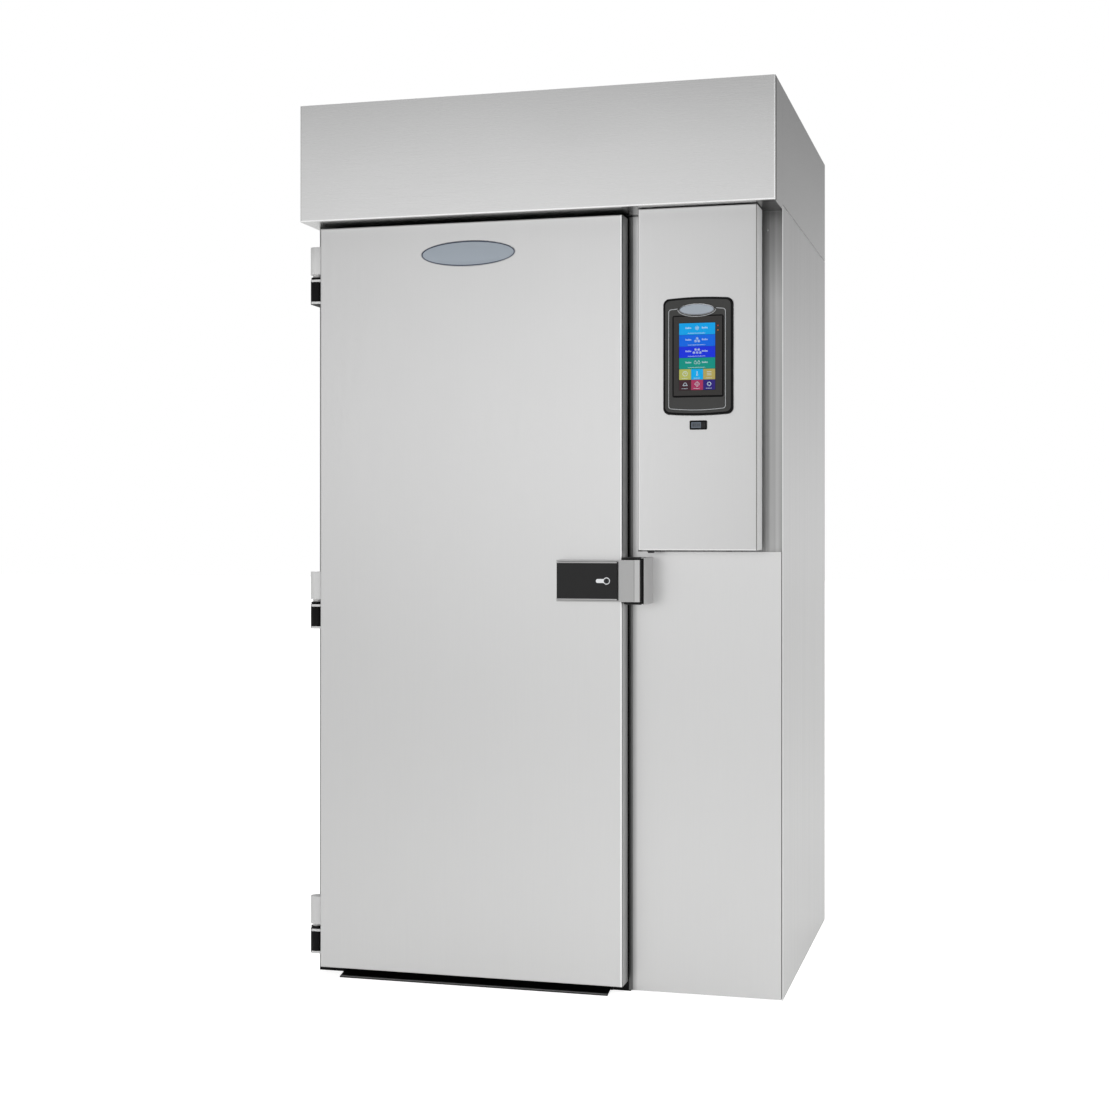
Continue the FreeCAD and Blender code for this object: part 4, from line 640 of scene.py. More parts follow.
print("Keys on the screen:", len(key_places))

# %% [markdown]
# ## The signs on the keys
# A sign is a few strokes of one width. Each stroke becomes a thin flat bar, so a snow crystal is
# six bars with two short twigs each, and a ring is a row of short bars round a circle.

# %% Strokes and signs
def bar(start, end, width):
    """The outline of a straight stroke."""
    run = Vector(end) - Vector(start)
    side = Vector((-run.y, run.x)).normalized() * (width / 2)
    first, last = Vector(start), Vector(end)
    return [tuple(first + side), tuple(last + side), tuple(last - side), tuple(first - side)]


def chain(points, width, closed=False):
    """Strokes through points one after another."""
    ends = points[1:] + points[:1] if closed else points[1:]
    return [bar(one, other, width) for one, other in zip(points, ends)]


def around(centre, radius, turn):
    """A point at a turn, in degrees, on a circle."""
    angle = math.radians(turn)
    return (centre[0] + radius * math.cos(angle), centre[1] + radius * math.sin(angle))


def ring_sign(centre, radius, width, start=0, end=360, steps=20):
    """A circle, or an arc of one."""
    points = [around(centre, radius, start + (end - start) * step / steps) for step in range(steps + 1)]
    return chain(points, width)


def crystal(centre, radius, width=0.7):
    """A snow crystal with six arms."""
    strokes = []
    for turn in range(0, 360, 60):
        strokes.append(bar(centre, around(centre, radius, turn + 30), width))
        fork = around(centre, radius * 0.6, turn + 30)
        for lean in (-50, 50):
            strokes.append(bar(fork, around(fork, radius * 0.36, turn + 30 + lean), width * 0.8))
    return strokes


def drop(centre, radius, width=0.8):
    """A drop of melt water."""
    tip = (centre[0], centre[1] + radius)
    low = (centre[0], centre[1] - radius * 0.25)
    belly = [around(low, radius * 0.62, turn) for turn in range(-215, 36, 18)]
    return chain([tip] + belly, width, closed=True)


def clock(centre, radius, width=0.7):
    """A clock face with two hands."""
    return ring_sign(centre, radius, width) + [bar(centre, around(centre, radius * 0.7, 90), width),
                                               bar(centre, around(centre, radius * 0.5, 0), width)]


def fan_sign(centre, radius, width=0.8):
    """A fan with four blades."""
    strokes = ring_sign(centre, radius * 0.18, width, steps=8)
    for turn in range(0, 360, 90):
        blade = around(centre, radius * 0.55, turn)
        strokes += ring_sign(blade, radius * 0.42, width, turn - 90, turn + 90, 8)
    return strokes


def probe(centre, radius, width=0.8):
    """A thermometer: a stem and a bulb."""
    low = (centre[0], centre[1] - radius * 0.6)
    stem = bar((low[0], low[1] + radius * 0.3), (low[0], centre[1] + radius), width * 1.6)
    return ring_sign(low, radius * 0.34, width, steps=12) + [stem]


def list_sign(centre, radius, width=0.8):
    """Three short lines."""
    levels = [centre[1] + rise * radius for rise in (-0.7, 0, 0.7)]
    return [bar((centre[0] - radius, level), (centre[0] + radius, level), width) for level in levels]


def bell(centre, radius, width=0.7):
    """A bell with its rim and clapper."""
    arch = [around(centre, radius * 0.6, turn) for turn in range(180, -1, -20)]
    rim = ((centre[0] - radius, centre[1] - radius * 0.6), (centre[0] + radius, centre[1] - radius * 0.6))
    return chain([rim[0]] + arch + [rim[1]], width, closed=True)


def gear(centre, radius, width=0.8):
    """A ring with eight teeth."""
    strokes = ring_sign(centre, radius * 0.66, width)
    for turn in range(0, 360, 45):
        strokes.append(bar(around(centre, radius * 0.66, turn), around(centre, radius, turn), width * 1.3))
    return strokes


def dashes(left, right, level, height, pitch=2.6):
    """A row of upright dashes that stands for a caption."""
    strokes = []
    for number in range(int((right - left) / pitch)):
        x = left + number * pitch
        reach = height * (0.7 + 0.3 * (number % 3 == 0))
        strokes.append(bar((x, level), (x, level + reach), pitch * 0.5))
    return strokes


print("Strokes of a snow crystal:", len(crystal((0, 0), 5)))

# %% Draw the signs and the dashes on the keys
CRYSTALS = {"cyan": ((0, 0),), "blue": ((0, 3.4), (-4.2, -3.4), (4.2, -3.4)),
            "navy": ((-4.2, 4.2), (4.2, 4.2), (0, -3.4), (-8.4, -3.4), (8.4, -3.4))}
LONE_CRYSTAL, GROUP_CRYSTAL = 5.8, 3.6
DROP_SHIFT, DROP_LIFT, DROP_SIZE = 4.5, 2.5, 5
SMALL_SIGN, SMALL_STROKE = 6.0, 1.1
SIGN_LIFT, WORD_HEIGHT = 2, 4.6
CAPTION_LEVEL, CAPTION_HEIGHT, CAPTION_PITCH = 3.2, 1.9, 2.2
signs = []
for word, places in CRYSTALS.items():
    left, right, low, high = key_places[word]
    size = LONE_CRYSTAL if len(places) == 1 else GROUP_CRYSTAL
    for shift, rise in places:
        signs += crystal(((left + right) / 2 + shift, (low + high) / 2 + SIGN_LIFT + rise), size)
left, right, low, high = key_places["teal"]
for shift in (-DROP_SHIFT, DROP_SHIFT):
    signs += drop(((left + right) / 2 + shift, (low + high) / 2 + DROP_LIFT), DROP_SIZE)
for word, share in BROAD_KEYS:
    left, right, low, high = key_places[word]
    level = (low + high) / 2 + 0.5
    signs += dashes(left + 18, left + 36, level, WORD_HEIGHT)
    signs += dashes(right - 34, right - 18, level, WORD_HEIGHT)
    signs += dashes(left + 24, right - 24, low + CAPTION_LEVEL, CAPTION_HEIGHT, pitch=CAPTION_PITCH)
for word, sign in (("khaki", clock), ("sky", probe), ("tan", list_sign), ("maroon", bell),
                   ("rose", fan_sign), ("violet", gear)):
    left, right, low, high = key_places[word]
    signs += sign(((left + right) / 2, (low + high) / 2 + SIGN_LIFT), SMALL_SIGN, width=SMALL_STROKE)
    signs += dashes(left + 8, right - 8, low + CAPTION_LEVEL, CAPTION_HEIGHT, pitch=CAPTION_PITCH)
flat_faces("screen_signs", signs, SCREEN_Y - 0.08, "control_box", display_white)
print("Strokes on the screen:", len(signs))

# %% [markdown]
# ## The line and the plates on the controller's face
# A thin light line is printed round the face; it stops at both ends of a small oval plate at the
# top. The plate is a blank, slightly domed disc with a dark rim and a bright edge. A larger one
# of the same kind is fixed to the door.

# %% A printed line round the controller's face
LINE_HALF_X, LINE_HALF_Z, LINE_WIDTH = 75.3, 129.0, 1.4
FACE_Y = bezel_high.y - 8.0
pale_print = grained("pale_grey_print", "B9BCBF", 0.4, grain=0.5, bump=0.0)


def printed_line(name, centre, half_x, half_z, width, gap):
    """A rounded frame of one width, open at the top over a gap to each side of the middle."""
    outer = rounded_ring(half_x, half_z, 7.0, BEZEL_ARCH)
    inner = rounded_ring(half_x - width, half_z - width, 6.0, BEZEL_ARCH)
    outlines = []
    for place in range(len(outer)):
        following = (place + 1) % len(outer)
        quad = [outer[place], outer[following], inner[following], inner[place]]
        middle_x = sum(point[0] for point in quad) / 4
        if quad[0][1] > 0 and abs(middle_x) < gap and abs(quad[0][1]) > half_z - 4:
            continue
        outlines.append([(centre[0] + x, centre[1] + z) for x, z in quad])
    return flat_faces(name, outlines, FACE_Y - 0.08, "control_box", pale_print)


LINE_GAP = 47
line_centre = (bezel_x - 2.4, bezel_z - 7.0)
printed_line("controller_line", line_centre, LINE_HALF_X, LINE_HALF_Z, LINE_WIDTH, LINE_GAP)
OVAL_LINE_X, OVAL_LINE_Z = 49.5, 18.0
plate_centre = (bezel_x - 3, bezel_z + 121.0)
arc = [(plate_centre[0] + OVAL_LINE_X * math.cos(math.radians(turn)),
        plate_centre[1] + OVAL_LINE_Z * math.sin(math.radians(turn))) for turn in range(180, 361, 5)]
flat_faces("controller_arc", chain(arc, LINE_WIDTH), FACE_Y - 0.08, "control_box", pale_print)
print("Points on the arc under the plate:", len(arc))

# %% Blank oval plates
plate_blue = grained("pale_anodised_blank", "9FA8B2", 0.34, grain=0.8, bump=0.02, mottle=0.02)
plate_rim = grained("dark_plate_rim", "3A4254", 0.34, bump=0.02)
PLATE_STEPS = ((0.0, 0.0), (0.0, 0.8), (0.05, 1.2), (0.13, 1.3), (0.14, 1.1), (0.5, 1.3), (0.9, 1.4))
DOOR_PLATE_CENTRE = (-187.0, 1985.5)


def oval_plate(name, centre, half_x, half_z, back_y, body, steps=72):
    """A slightly domed oval disc with a dark rim and a bright edge."""
    rings = []
    for inset, height in PLATE_STEPS:
        shrink = half_z * inset
        points = []
        for step in range(steps):
            turn = 2 * math.pi * step / steps
            points.append((centre[0] + (half_x - shrink) * math.cos(turn), back_y - height,
                           centre[1] + (half_z - shrink) * math.sin(turn)))
        rings.append(points)
    mesh = loft(name, rings, material_of=(0, 0, 1, 1, 2, 2))
    mesh.polygons[len(mesh.polygons) - 1].material_index = 2
    return piece_of(name, mesh, body, zinc_plate, plate_rim, plate_blue)


oval_plate("door_plate", DOOR_PLATE_CENTRE, 134.0, 35.5, door_low.y, "door")
oval_plate("controller_plate", plate_centre, 46.0, 14.5, FACE_Y, "control_box")
print("Plates at:", [[round(value) for value in centre] for centre in (DOOR_PLATE_CENTRE, plate_centre)])

# %% [markdown]
# ## The data port and the status lights
# Below the controller a small moulded port takes a memory stick: a glossy frame, a grey insert
# with raised bars on the left and a black flap on the right. Beside the top of the screen two
# pin-head lights show that power is on.

# %% Mould the port and its insert
port_low, port_high = corners("data_port")
port_x, port_z = (port_low.x + port_high.x) / 2, (port_low.z + port_high.z) / 2
port_half_x, port_half_z = (port_high.x - port_low.x) / 2, (port_high.z - port_low.z) / 2
BOX_FRONT = bezel_high.y
PORT_STEPS = ((3.0, -30.0, 1.5), (3.0, 0.0, 1.5), (0.0, 0.0, 3.5), (0.0, 2.2, 3.5), (0.7, 3.0, 3.0),
              (2.8, 3.0, 2.0), (3.2, 1.4, 1.8))
rings = []
for inset, height, corner in PORT_STEPS:
    outline = rounded_ring(port_half_x - inset, port_half_z - inset, corner)
    rings.append(front_ring(outline, BOX_FRONT - height, port_x, port_z))
port = piece_of("port_moulding", loft("port_moulding", rings), "control_box", gloss_black)
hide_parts("data_port")
slate_abs = grained("slate_abs", "5B6470", 0.4, grain=0.5, bump=0.05, ior=1.54)


def pad(name, low_x, high_x, low_z, high_z, back, front, corner, material, edge=0.4, body="control_box"):
    """A small moulded block with a rounded front edge, standing on a plane that faces the front."""
    centre_x, centre_z = (low_x + high_x) / 2, (low_z + high_z) / 2
    half_x, half_z = (high_x - low_x) / 2, (high_z - low_z) / 2
    rings = []
    for inset, y in ((0.0, back), (0.0, front + edge), (edge * 0.3, front + edge * 0.3), (edge, front)):
        outline = rounded_ring(half_x - inset, half_z - inset, max(corner - inset, 0.1), side_steps=2)
        rings.append(front_ring(outline, y, centre_x, centre_z))
    return piece_of(name, loft(name, rings), body, material)


port_floor = BOX_FRONT - 1.4
INSERT_EDGE_X, INSERT_EDGE_Z, INSERT_WIDTH = 4, 4.2, 30
BAR_COUNT, BAR_START, BAR_PITCH, BAR_WIDTH, BAR_EDGE = 4, 8.5, 5.2, 2.2, 7.5
insert_low, insert_high = port_low.z + INSERT_EDGE_Z, port_high.z - INSERT_EDGE_Z
pad("port_insert", port_low.x + INSERT_EDGE_X, port_low.x + INSERT_WIDTH, insert_low, insert_high,
    port_floor, port_floor - 0.9, 1.2, slate_abs)
pad("port_flap", port_low.x + INSERT_WIDTH + 1, port_high.x - INSERT_EDGE_X, insert_low, insert_high,
    port_floor, port_floor - 1.3, 1.5, black_abs)
for number in range(BAR_COUNT):
    bar_x = port_low.x + BAR_START + number * BAR_PITCH
    pad(f"port_bar_{number + 1}", bar_x, bar_x + BAR_WIDTH, port_low.z + BAR_EDGE, port_high.z - BAR_EDGE,
        port_floor - 0.8, port_floor - 1.6, 0.8, charcoal_abs, edge=0.3)
power_red = lit_glass("light_red", "B0341D", 0.4)
power_amber = lit_glass("light_amber", "B96A1E", 0.35)
SPOT_GAP, SPOT_HALF_X, SPOT_HALF_Z = 7.0, 1.2, 1.7
for name, rise, material in (("status_light_red", 8.0, power_red), ("status_light_amber", 20.0, power_amber)):
    spot_x, spot_z = SCREEN_HIGH.x + SPOT_GAP, SCREEN_HIGH.y - rise
    pad(name, spot_x - SPOT_HALF_X, spot_x + SPOT_HALF_X, spot_z - SPOT_HALF_Z, spot_z + SPOT_HALF_Z,
        glass_low.y, glass_low.y - 0.25, 1.1, material, edge=0.2)
print("Port at", round(port_x), round(port_z))

# %% [markdown]
# ## Trims on the lever, the hinge arms, the ramp and the jamb
# The black lever sits in a metal frame that shows as a thin bright rim above and below it. Each
# black hinge arm carries a light cap at its top. The ramp's toe is a rolled bar on a rubber foot.
# The nose's black rubber bumper and the strike's black rubber lips above and below it paint the
# shadow in the gap round the nose, and a narrow trim covers the jamb's edge.

# %% Rims of the lever
PROUD = 0.3
RIM = 3.6
lever_low, lever_high = corners("latch_lever")
for word, low_z in (("lower", lever_low.z), ("upper", lever_high.z - RIM)):
    pad(f"lever_rim_{word}", lever_low.x, lever_high.x, low_z, low_z + RIM, lever_low.y + 3,
        lever_low.y - PROUD, 0.6, pale_zinc, body="latch_lever")
print("Lever between heights:", round(lever_low.z), round(lever_high.z))

# %% Caps of the hinge arms
def levels_of(node, gap=20.0):
    """The (low, high) heights in millimetres between which a node's corners lie close together."""
    heights = sorted(vertex.co.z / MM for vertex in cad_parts[node].data.vertices)
    spans = [[heights[0], heights[0]]]
    for height in heights:
        if height - spans[-1][1] > gap:
            spans.append([height, height])
        spans[-1][1] = height
    return spans


CAP, CAP_INSET = 6.0, 7.5
arm_low, arm_high = corners("hinge_arms")
cap_left, cap_right = arm_low.x + CAP_INSET, min(arm_high.x, door_low.x) - PROUD
cap_tops = [high_z for low_z, high_z in levels_of("hinge_arms")]
for number, cap_top in enumerate(cap_tops):
    pad(f"hinge_cap_{number + 1}", cap_left, cap_right, cap_top - CAP, cap_top + 0.2, arm_high.y - 1,
        arm_low.y - PROUD, 0.8, grey_powder, body="door")
print("Hinge caps end at heights:", [round(cap_top) for cap_top in cap_tops])

# %% The ramp's toe and foot, the bars that paint the shadow round the nose, and the jamb's trim
# Each bar has a word, a low and a high level, how far it stands out, a corner, a finish and an edge.
RAMP_BARS = (("toe", 2.6, 6.2, 0.4, 1.6, dark_trim, 1.2), ("foot", 0.2, 2.8, 0.6, 1.2, seal_rubber, 0.8))
ramp_low, ramp_high = corners("entry_ramp")
for word, low_z, high_z, lead, corner, finish, edge in RAMP_BARS:
    pad(f"ramp_{word}", ramp_low.x + 1, ramp_high.x - 1, low_z, high_z, ramp_low.y + 5, ramp_low.y - lead,
        corner, finish, edge=edge, body="cabinet")
# The bumper is a black rubber bar that paints the shadow in the gap at the nose's end.
SHADOW_BUMPER, SHADOW_BUMPER_DEPTH = 4.6, 12
shadow_bumper_front = housing_low.y + CHAMFER - CHAMFER * SHADOW_BUMPER / CHAMFER_RUN - PROUD
pad("nose_shadow_bumper", housing_high.x - SHADOW_BUMPER, housing_high.x + 0.2, housing_low.z - PROUD,
    housing_high.z + PROUD, shadow_bumper_front + SHADOW_BUMPER_DEPTH, shadow_bumper_front, 2.0, seal_rubber, edge=1.0,
    body="door")
# The lips are black rubber bars that paint the shadow in the gap above and below the nose.
SHADOW_LIP, SHADOW_LIP_DEPTH, SHADOW_LIP_PROUD = 3.2, 60, 0.4
for word, low_z in (("lower", case_low.z - SHADOW_LIP_PROUD), ("upper", case_high.z + SHADOW_LIP_PROUD - SHADOW_LIP)):
    pad(f"strike_shadow_lip_{word}", case_low.x + SHADOW_LIP_PROUD, housing_high.x + 0.6, low_z, low_z + SHADOW_LIP,
        case_low.y + SHADOW_LIP_DEPTH, case_low.y - SHADOW_LIP_PROUD, 0.8, seal_rubber, edge=0.6, body="cabinet")
TRIM_LAP, TRIM_PROUD = 5.0, 0.6
breaker_high = corners("door_frame_breaker")[1]
pad("jamb_trim", breaker_high.x - TRIM_LAP, case_low.x - 0.4, cover_low.z, cover_high.z - 1,
    cover_low.y + TRIM_PROUD, cover_low.y - TRIM_PROUD, 0.6, dark_trim, edge=0.4, body="cabinet")
print("Strike lips from", round(case_low.z), "and to", round(case_high.z), "mm")

# %% [markdown]
# ## The door seal
# A magnetic seal runs round the door: a soft bellows that ends in a pocket with the magnet. Its
# section is swept up one side, across the top and down the other, with mitred corners where the
# strips are welded. Below, a wiper blade closes the gap over the sill.

# %% Sweep the seal and its wiper
seal_low, seal_high = corners("door_seals")
SEAL_SECTION = ((4, 0), (26, 0), (27, 2.2), (24, 4), (28, 6), (24, 8), (28.6, 9.6), (29, 11), (29, 15.4),
                (28, 16), (2, 16), (1, 15.4), (1, 11), (1.4, 9.6), (6, 8), (2, 6), (6, 4), (3, 2.2))
SEAL_BAND = 30.0
seal_foot = door_low.z + 4.0
inner_left, inner_right = seal_low.x + SEAL_BAND, seal_high.x - SEAL_BAND
inner_top = seal_high.z - SEAL_BAND
stations = ((inner_left, -1, seal_foot, 0), (inner_left, -1, inner_top, 1), (inner_right, 1, inner_top, 1),
            (inner_right, 1, seal_foot, 0))
rings = [[(x + side * out, seal_low.y + depth, z + lift * out) for out, depth in SEAL_SECTION]
         for x, side, z, lift in stations]
seal = piece_of("door_seal", loft("door_seal", rings), "door", seal_rubber, smooth=20)
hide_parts("door_seals")
WIPER_SECTION = ((0.0, 19.2), (15.0, 19.2), (15.5, 15.0), (9.5, 9.5), (8.0, 0.4), (5.5, 0.4), (6.5, 10.0),
                 (0.0, 14.0))
WIPER_INSET = 14.0
rings = [[(x, seal_low.y + depth, seal_low.z + rise) for depth, rise in WIPER_SECTION]
         for x in (inner_left + WIPER_INSET, inner_right - WIPER_INSET)]
piece_of("door_wiper", loft("door_wiper", rings), "door", seal_rubber, smooth=20)
print("Seal from", round(seal_low.z), "to", round(seal_high.z), "mm")

# %% [markdown]
# ## Growing what repeats
# Screws, guard wires, fins and tubes repeat, so a node tree makes each of them from a few points
# and sizes. The tree's result is turned into a plain mesh before it rides on a body.

# %% Helpers for node trees
INPUT_KINDS = {float: "NodeSocketFloat", int: "NodeSocketInt", tuple: "NodeSocketVector"}


def new_tree(name, **defaults):
    """A node tree with named inputs, a finish and a seed geometry; gives the tree and its input node."""
    tree = bpy.data.node_groups.new(name, "GeometryNodeTree")
    tree.interface.new_socket("Geometry", in_out="INPUT", socket_type="NodeSocketGeometry")
    for word, value in defaults.items():
        socket = tree.interface.new_socket(word, in_out="INPUT", socket_type=INPUT_KINDS[type(value)])
        socket.default_value = value
    tree.interface.new_socket("Finish", in_out="INPUT", socket_type="NodeSocketMaterial")
    tree.interface.new_socket("Geometry", in_out="OUTPUT", socket_type="NodeSocketGeometry")
    return tree, tree.nodes.new("NodeGroupInput")


def close_tree(tree, geometry, finish):
    """Makes instances real, sets their material and leads them to the output."""
    real = add(tree, "GeometryNodeRealizeInstances", {"Geometry": geometry})
    dressed_up = add(tree, "GeometryNodeSetMaterial", {"Geometry": real.outputs[0], "Material": finish})
    tree.links.new(dressed_up.outputs[0], tree.nodes.new("NodeGroupOutput").inputs[0])


def grow(name, tree, body, points, finish, smooth=35, **sizes):
    """Runs a tree on points in millimetres and keeps the result as a plain piece of a body."""
    seeds = bpy.data.meshes.new(f"{name}_seeds")
    seeds.from_pydata([Vector(point) * MM for point in points], [], [])
    carrier = bpy.data.objects.new(f"{name}_carrier", seeds)
    bpy.context.collection.objects.link(carrier)
    grower = carrier.modifiers.new("grow", "NODES")
    grower.node_group = tree
    for item in tree.interface.items_tree:
        if item.in_out == "INPUT" and item.name in sizes:
            grower[item.identifier] = sizes[item.name]
        if item.name == "Finish":
            grower[item.identifier] = finish
    seen_by = bpy.context.evaluated_depsgraph_get()
    mesh = bpy.data.meshes.new_from_object(carrier.evaluated_get(seen_by))
    bpy.data.objects.remove(carrier)
    mesh.materials.clear()
    print(name, len(mesh.polygons), "faces")
    return piece_of(name, mesh, body, finish, smooth=smooth)


# %% A pan-head screw with a round recess, on every point
def screw_tree():
    """A disc is extruded in steps: the head's wall, its crown and then the recess."""
    tree, sizes = new_tree("screw_heads", radius=0.004, height=0.0022, recess=0.45, turn=(0.0, 0.0, 0.0))
    disc = add(tree, "GeometryNodeMeshCircle", {"Vertices": 16, "Radius": sizes.outputs["radius"]},
               fill_type="NGON")
    shape, top = disc.outputs[0], None
    steps = ((0.5, 1.0), (0.32, 0.86), (0.18, 0.72), (0.0, None), (-0.7, 0.9))
    for rise, scale in steps:
        up = add(tree, "ShaderNodeMath", {0: sizes.outputs["height"], 1: rise}, operation="MULTIPLY")
        offset = add(tree, "ShaderNodeCombineXYZ", {"Z": up.outputs[0]})
        links = {"Mesh": shape, "Offset": offset.outputs[0], "Offset Scale": 1.0, "Individual": False}
        if top is not None:
            links["Selection"] = top
        wall = add(tree, "GeometryNodeExtrudeMesh", links)
        top = wall.outputs["Top"]
        factor = sizes.outputs["recess"] if scale is None else scale
        narrowed = add(tree, "GeometryNodeScaleElements", {"Geometry": wall.outputs["Mesh"], "Selection": top,
                                                           "Scale": factor})
        shape = narrowed.outputs[0]
    heads = add(tree, "GeometryNodeInstanceOnPoints", {"Points": sizes.outputs["Geometry"], "Instance": shape,
                                                       "Rotation": sizes.outputs["turn"]})
    close_tree(tree, heads.outputs[0], sizes.outputs["Finish"])
    return tree


screws = screw_tree()
TO_FRONT, TO_BACK = (math.pi / 2, 0.0, 0.0), (-math.pi / 2, 0.0, 0.0)
TO_LEFT, TO_TOP = (0.0, -math.pi / 2, 0.0), (0.0, 0.0, 0.0)


def spread(low, high, count):
    """Even places from low to high."""
    return [low + (high - low) * number / (count - 1) for number in range(count)]


# %% Screws on the sheets
skin_low, skin_high = corners("rear_skin")
SHEET_EDGE, LID_EDGE = 16.0, 11
rear_points = [(x, skin_high.y, z) for x in (skin_low.x + SHEET_EDGE, skin_high.x - SHEET_EDGE)
               for z in spread(skin_low.z + 40, skin_high.z - 30, 9)]
rear_points += [(x, skin_high.y, z) for z in (skin_low.z + SHEET_EDGE, skin_high.z - SHEET_EDGE)
                for x in spread(skin_low.x + 160, skin_high.x - 160, 5)]
brace_low, brace_high = corners("hood_rear_brace")
rear_points += [(x, brace_high.y, brace_high.z - 30) for x in spread(brace_low.x + 30, brace_high.x - 30, 5)]
grow("rear_screws", screws, "cabinet", rear_points, zinc_plate, turn=TO_BACK)
wall_low, wall_high = corners("fan_wall")
wall_points = [(wall_low.x, y, z) for y in (wall_low.y + 24, wall_high.y - 24)
               for z in spread(wall_low.z + 80, wall_high.z - 90, 8)]
grow("fan_wall_screws", screws, "cabinet", wall_points, zinc_plate, turn=TO_LEFT)
STRIP_SCREW = (610.0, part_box("column_panel")[0][1] / MM, 2031.0)
plate_low, plate_high = corners("electrical_plate")
front_points = [STRIP_SCREW] + [(x, plate_low.y, z) for x in (plate_low.x + 9, plate_high.x - 9)
                                for z in spread(plate_low.z + 12, plate_high.z - 12, 4)]
grow("front_screws", screws, "cabinet", front_points, zinc_plate, turn=TO_FRONT, radius=0.0032)
lid_low, lid_high = corners("roof_box")
lid_points = [(x, y, lid_high.z) for x in (lid_low.x + LID_EDGE, lid_high.x - LID_EDGE)
              for y in (lid_low.y + LID_EDGE, lid_high.y - LID_EDGE)]
grow("roof_box_screws", screws, "cabinet", lid_points, zinc_plate, turn=TO_TOP, radius=0.0036)

# %% [markdown]
# ## Fan guards
# Each fan is covered by a guard of round wire: rings welded on eight spokes, with a small disc in
# the middle. A row of points gives the rings their radii, and a circle is swept along each, so
# the wire keeps its thickness however large the ring is.

# %% Rings and spokes of wire
def guard_tree():
    """Rings of wire about the X axis, on spokes, round each point."""
    tree, sizes = new_tree("fan_guard", outer=0.209, rings=11, spokes=8, wire=0.0014)
    step = add(tree, "ShaderNodeMath", {0: sizes.outputs["outer"], 1: sizes.outputs["rings"]},
               operation="DIVIDE")
    row = add(tree, "GeometryNodeMeshLine", {"Count": sizes.outputs["rings"], "Start Location": (0, 0, 0),
                                             "Offset": (0, 0, 0)}, mode="OFFSET")
    number = add(tree, "ShaderNodeMath", {0: add(tree, "GeometryNodeInputIndex").outputs[0], 1: 1.0},
                 operation="ADD")
    size = add(tree, "ShaderNodeMath", {0: number.outputs[0], 1: step.outputs[0]}, operation="MULTIPLY")
    circle = add(tree, "GeometryNodeCurvePrimitiveCircle", {"Resolution": 64, "Radius": 1.0})
    circles = add(tree, "GeometryNodeInstanceOnPoints", {"Points": row.outputs[0],
                                                         "Instance": circle.outputs[0],
                                                         "Scale": size.outputs[0]})
    section = add(tree, "GeometryNodeCurvePrimitiveCircle", {"Resolution": 6,
                                                             "Radius": sizes.outputs["wire"]})
    real = add(tree, "GeometryNodeRealizeInstances", {"Geometry": circles.outputs[0]})
    rings_made = add(tree, "GeometryNodeCurveToMesh", {"Curve": real.outputs[0],
                                                       "Profile Curve": section.outputs[0]})
    reach = add(tree, "ShaderNodeCombineXYZ", {"X": sizes.outputs["outer"]})
    spoke = add(tree, "GeometryNodeCurvePrimitiveLine", {"Start": (0.0, 0.0, 0.0), "End": reach.outputs[0]})
    turn_step = add(tree, "ShaderNodeMath", {0: 2 * math.pi, 1: sizes.outputs["spokes"]}, operation="DIVIDE")
    turn = add(tree, "ShaderNodeMath", {0: add(tree, "GeometryNodeInputIndex").outputs[0],
                                        1: turn_step.outputs[0]}, operation="MULTIPLY")
    fan_out = add(tree, "ShaderNodeCombineXYZ", {"Z": turn.outputs[0]})
    star = add(tree, "GeometryNodeMeshLine", {"Count": sizes.outputs["spokes"], "Start Location": (0, 0, 0),
                                              "Offset": (0, 0, 0)}, mode="OFFSET")
    spokes_placed = add(tree, "GeometryNodeInstanceOnPoints", {"Points": star.outputs[0],
                                                               "Instance": spoke.outputs[0],
                                                               "Rotation": fan_out.outputs[0]})
    spokes_real = add(tree, "GeometryNodeRealizeInstances", {"Geometry": spokes_placed.outputs[0]})
    spokes_made = add(tree, "GeometryNodeCurveToMesh", {"Curve": spokes_real.outputs[0],
                                                        "Profile Curve": section.outputs[0],
                                                        "Fill Caps": True})
    lowered = add(tree, "GeometryNodeTransform", {"Geometry": spokes_made.outputs[0],
                                                  "Translation": (0.0, 0.0, -0.0026)})
    disc = add(tree, "GeometryNodeMeshCylinder", {"Vertices": 32, "Radius": 0.024, "Depth": 0.002})
    both = add(tree, "GeometryNodeJoinGeometry")
    for item in (rings_made.outputs[0], lowered.outputs[0], disc.outputs["Mesh"]):
        tree.links.new(item, both.inputs[0])
    upright = add(tree, "GeometryNodeTransform", {"Geometry": both.outputs[0],
                                                  "Rotation": (0.0, -math.pi / 2, 0.0)})
    guards = add(tree, "GeometryNodeInstanceOnPoints", {"Points": sizes.outputs["Geometry"],
                                                        "Instance": upright.outputs[0]})
    close_tree(tree, guards.outputs[0], sizes.outputs["Finish"])
    return tree


fan_places = []
for number in (1, 2, 3):
    low, high = corners(f"fan_rotor_{number}")
    fan_places.append((wall_low.x - 4.0, (low.y + high.y) / 2, (low.z + high.z) / 2))
guards = grow("fan_guard_wires", guard_tree(), "cabinet", fan_places, zinc_plate, smooth=60)
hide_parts("fan_guards")

# %% [markdown]
# ## The coil
# The coil is a stack of thin aluminium fins on copper tubes. The model has a few thick fins; here
# thin ones stand 6 millimetres apart, and the tubes run through them.

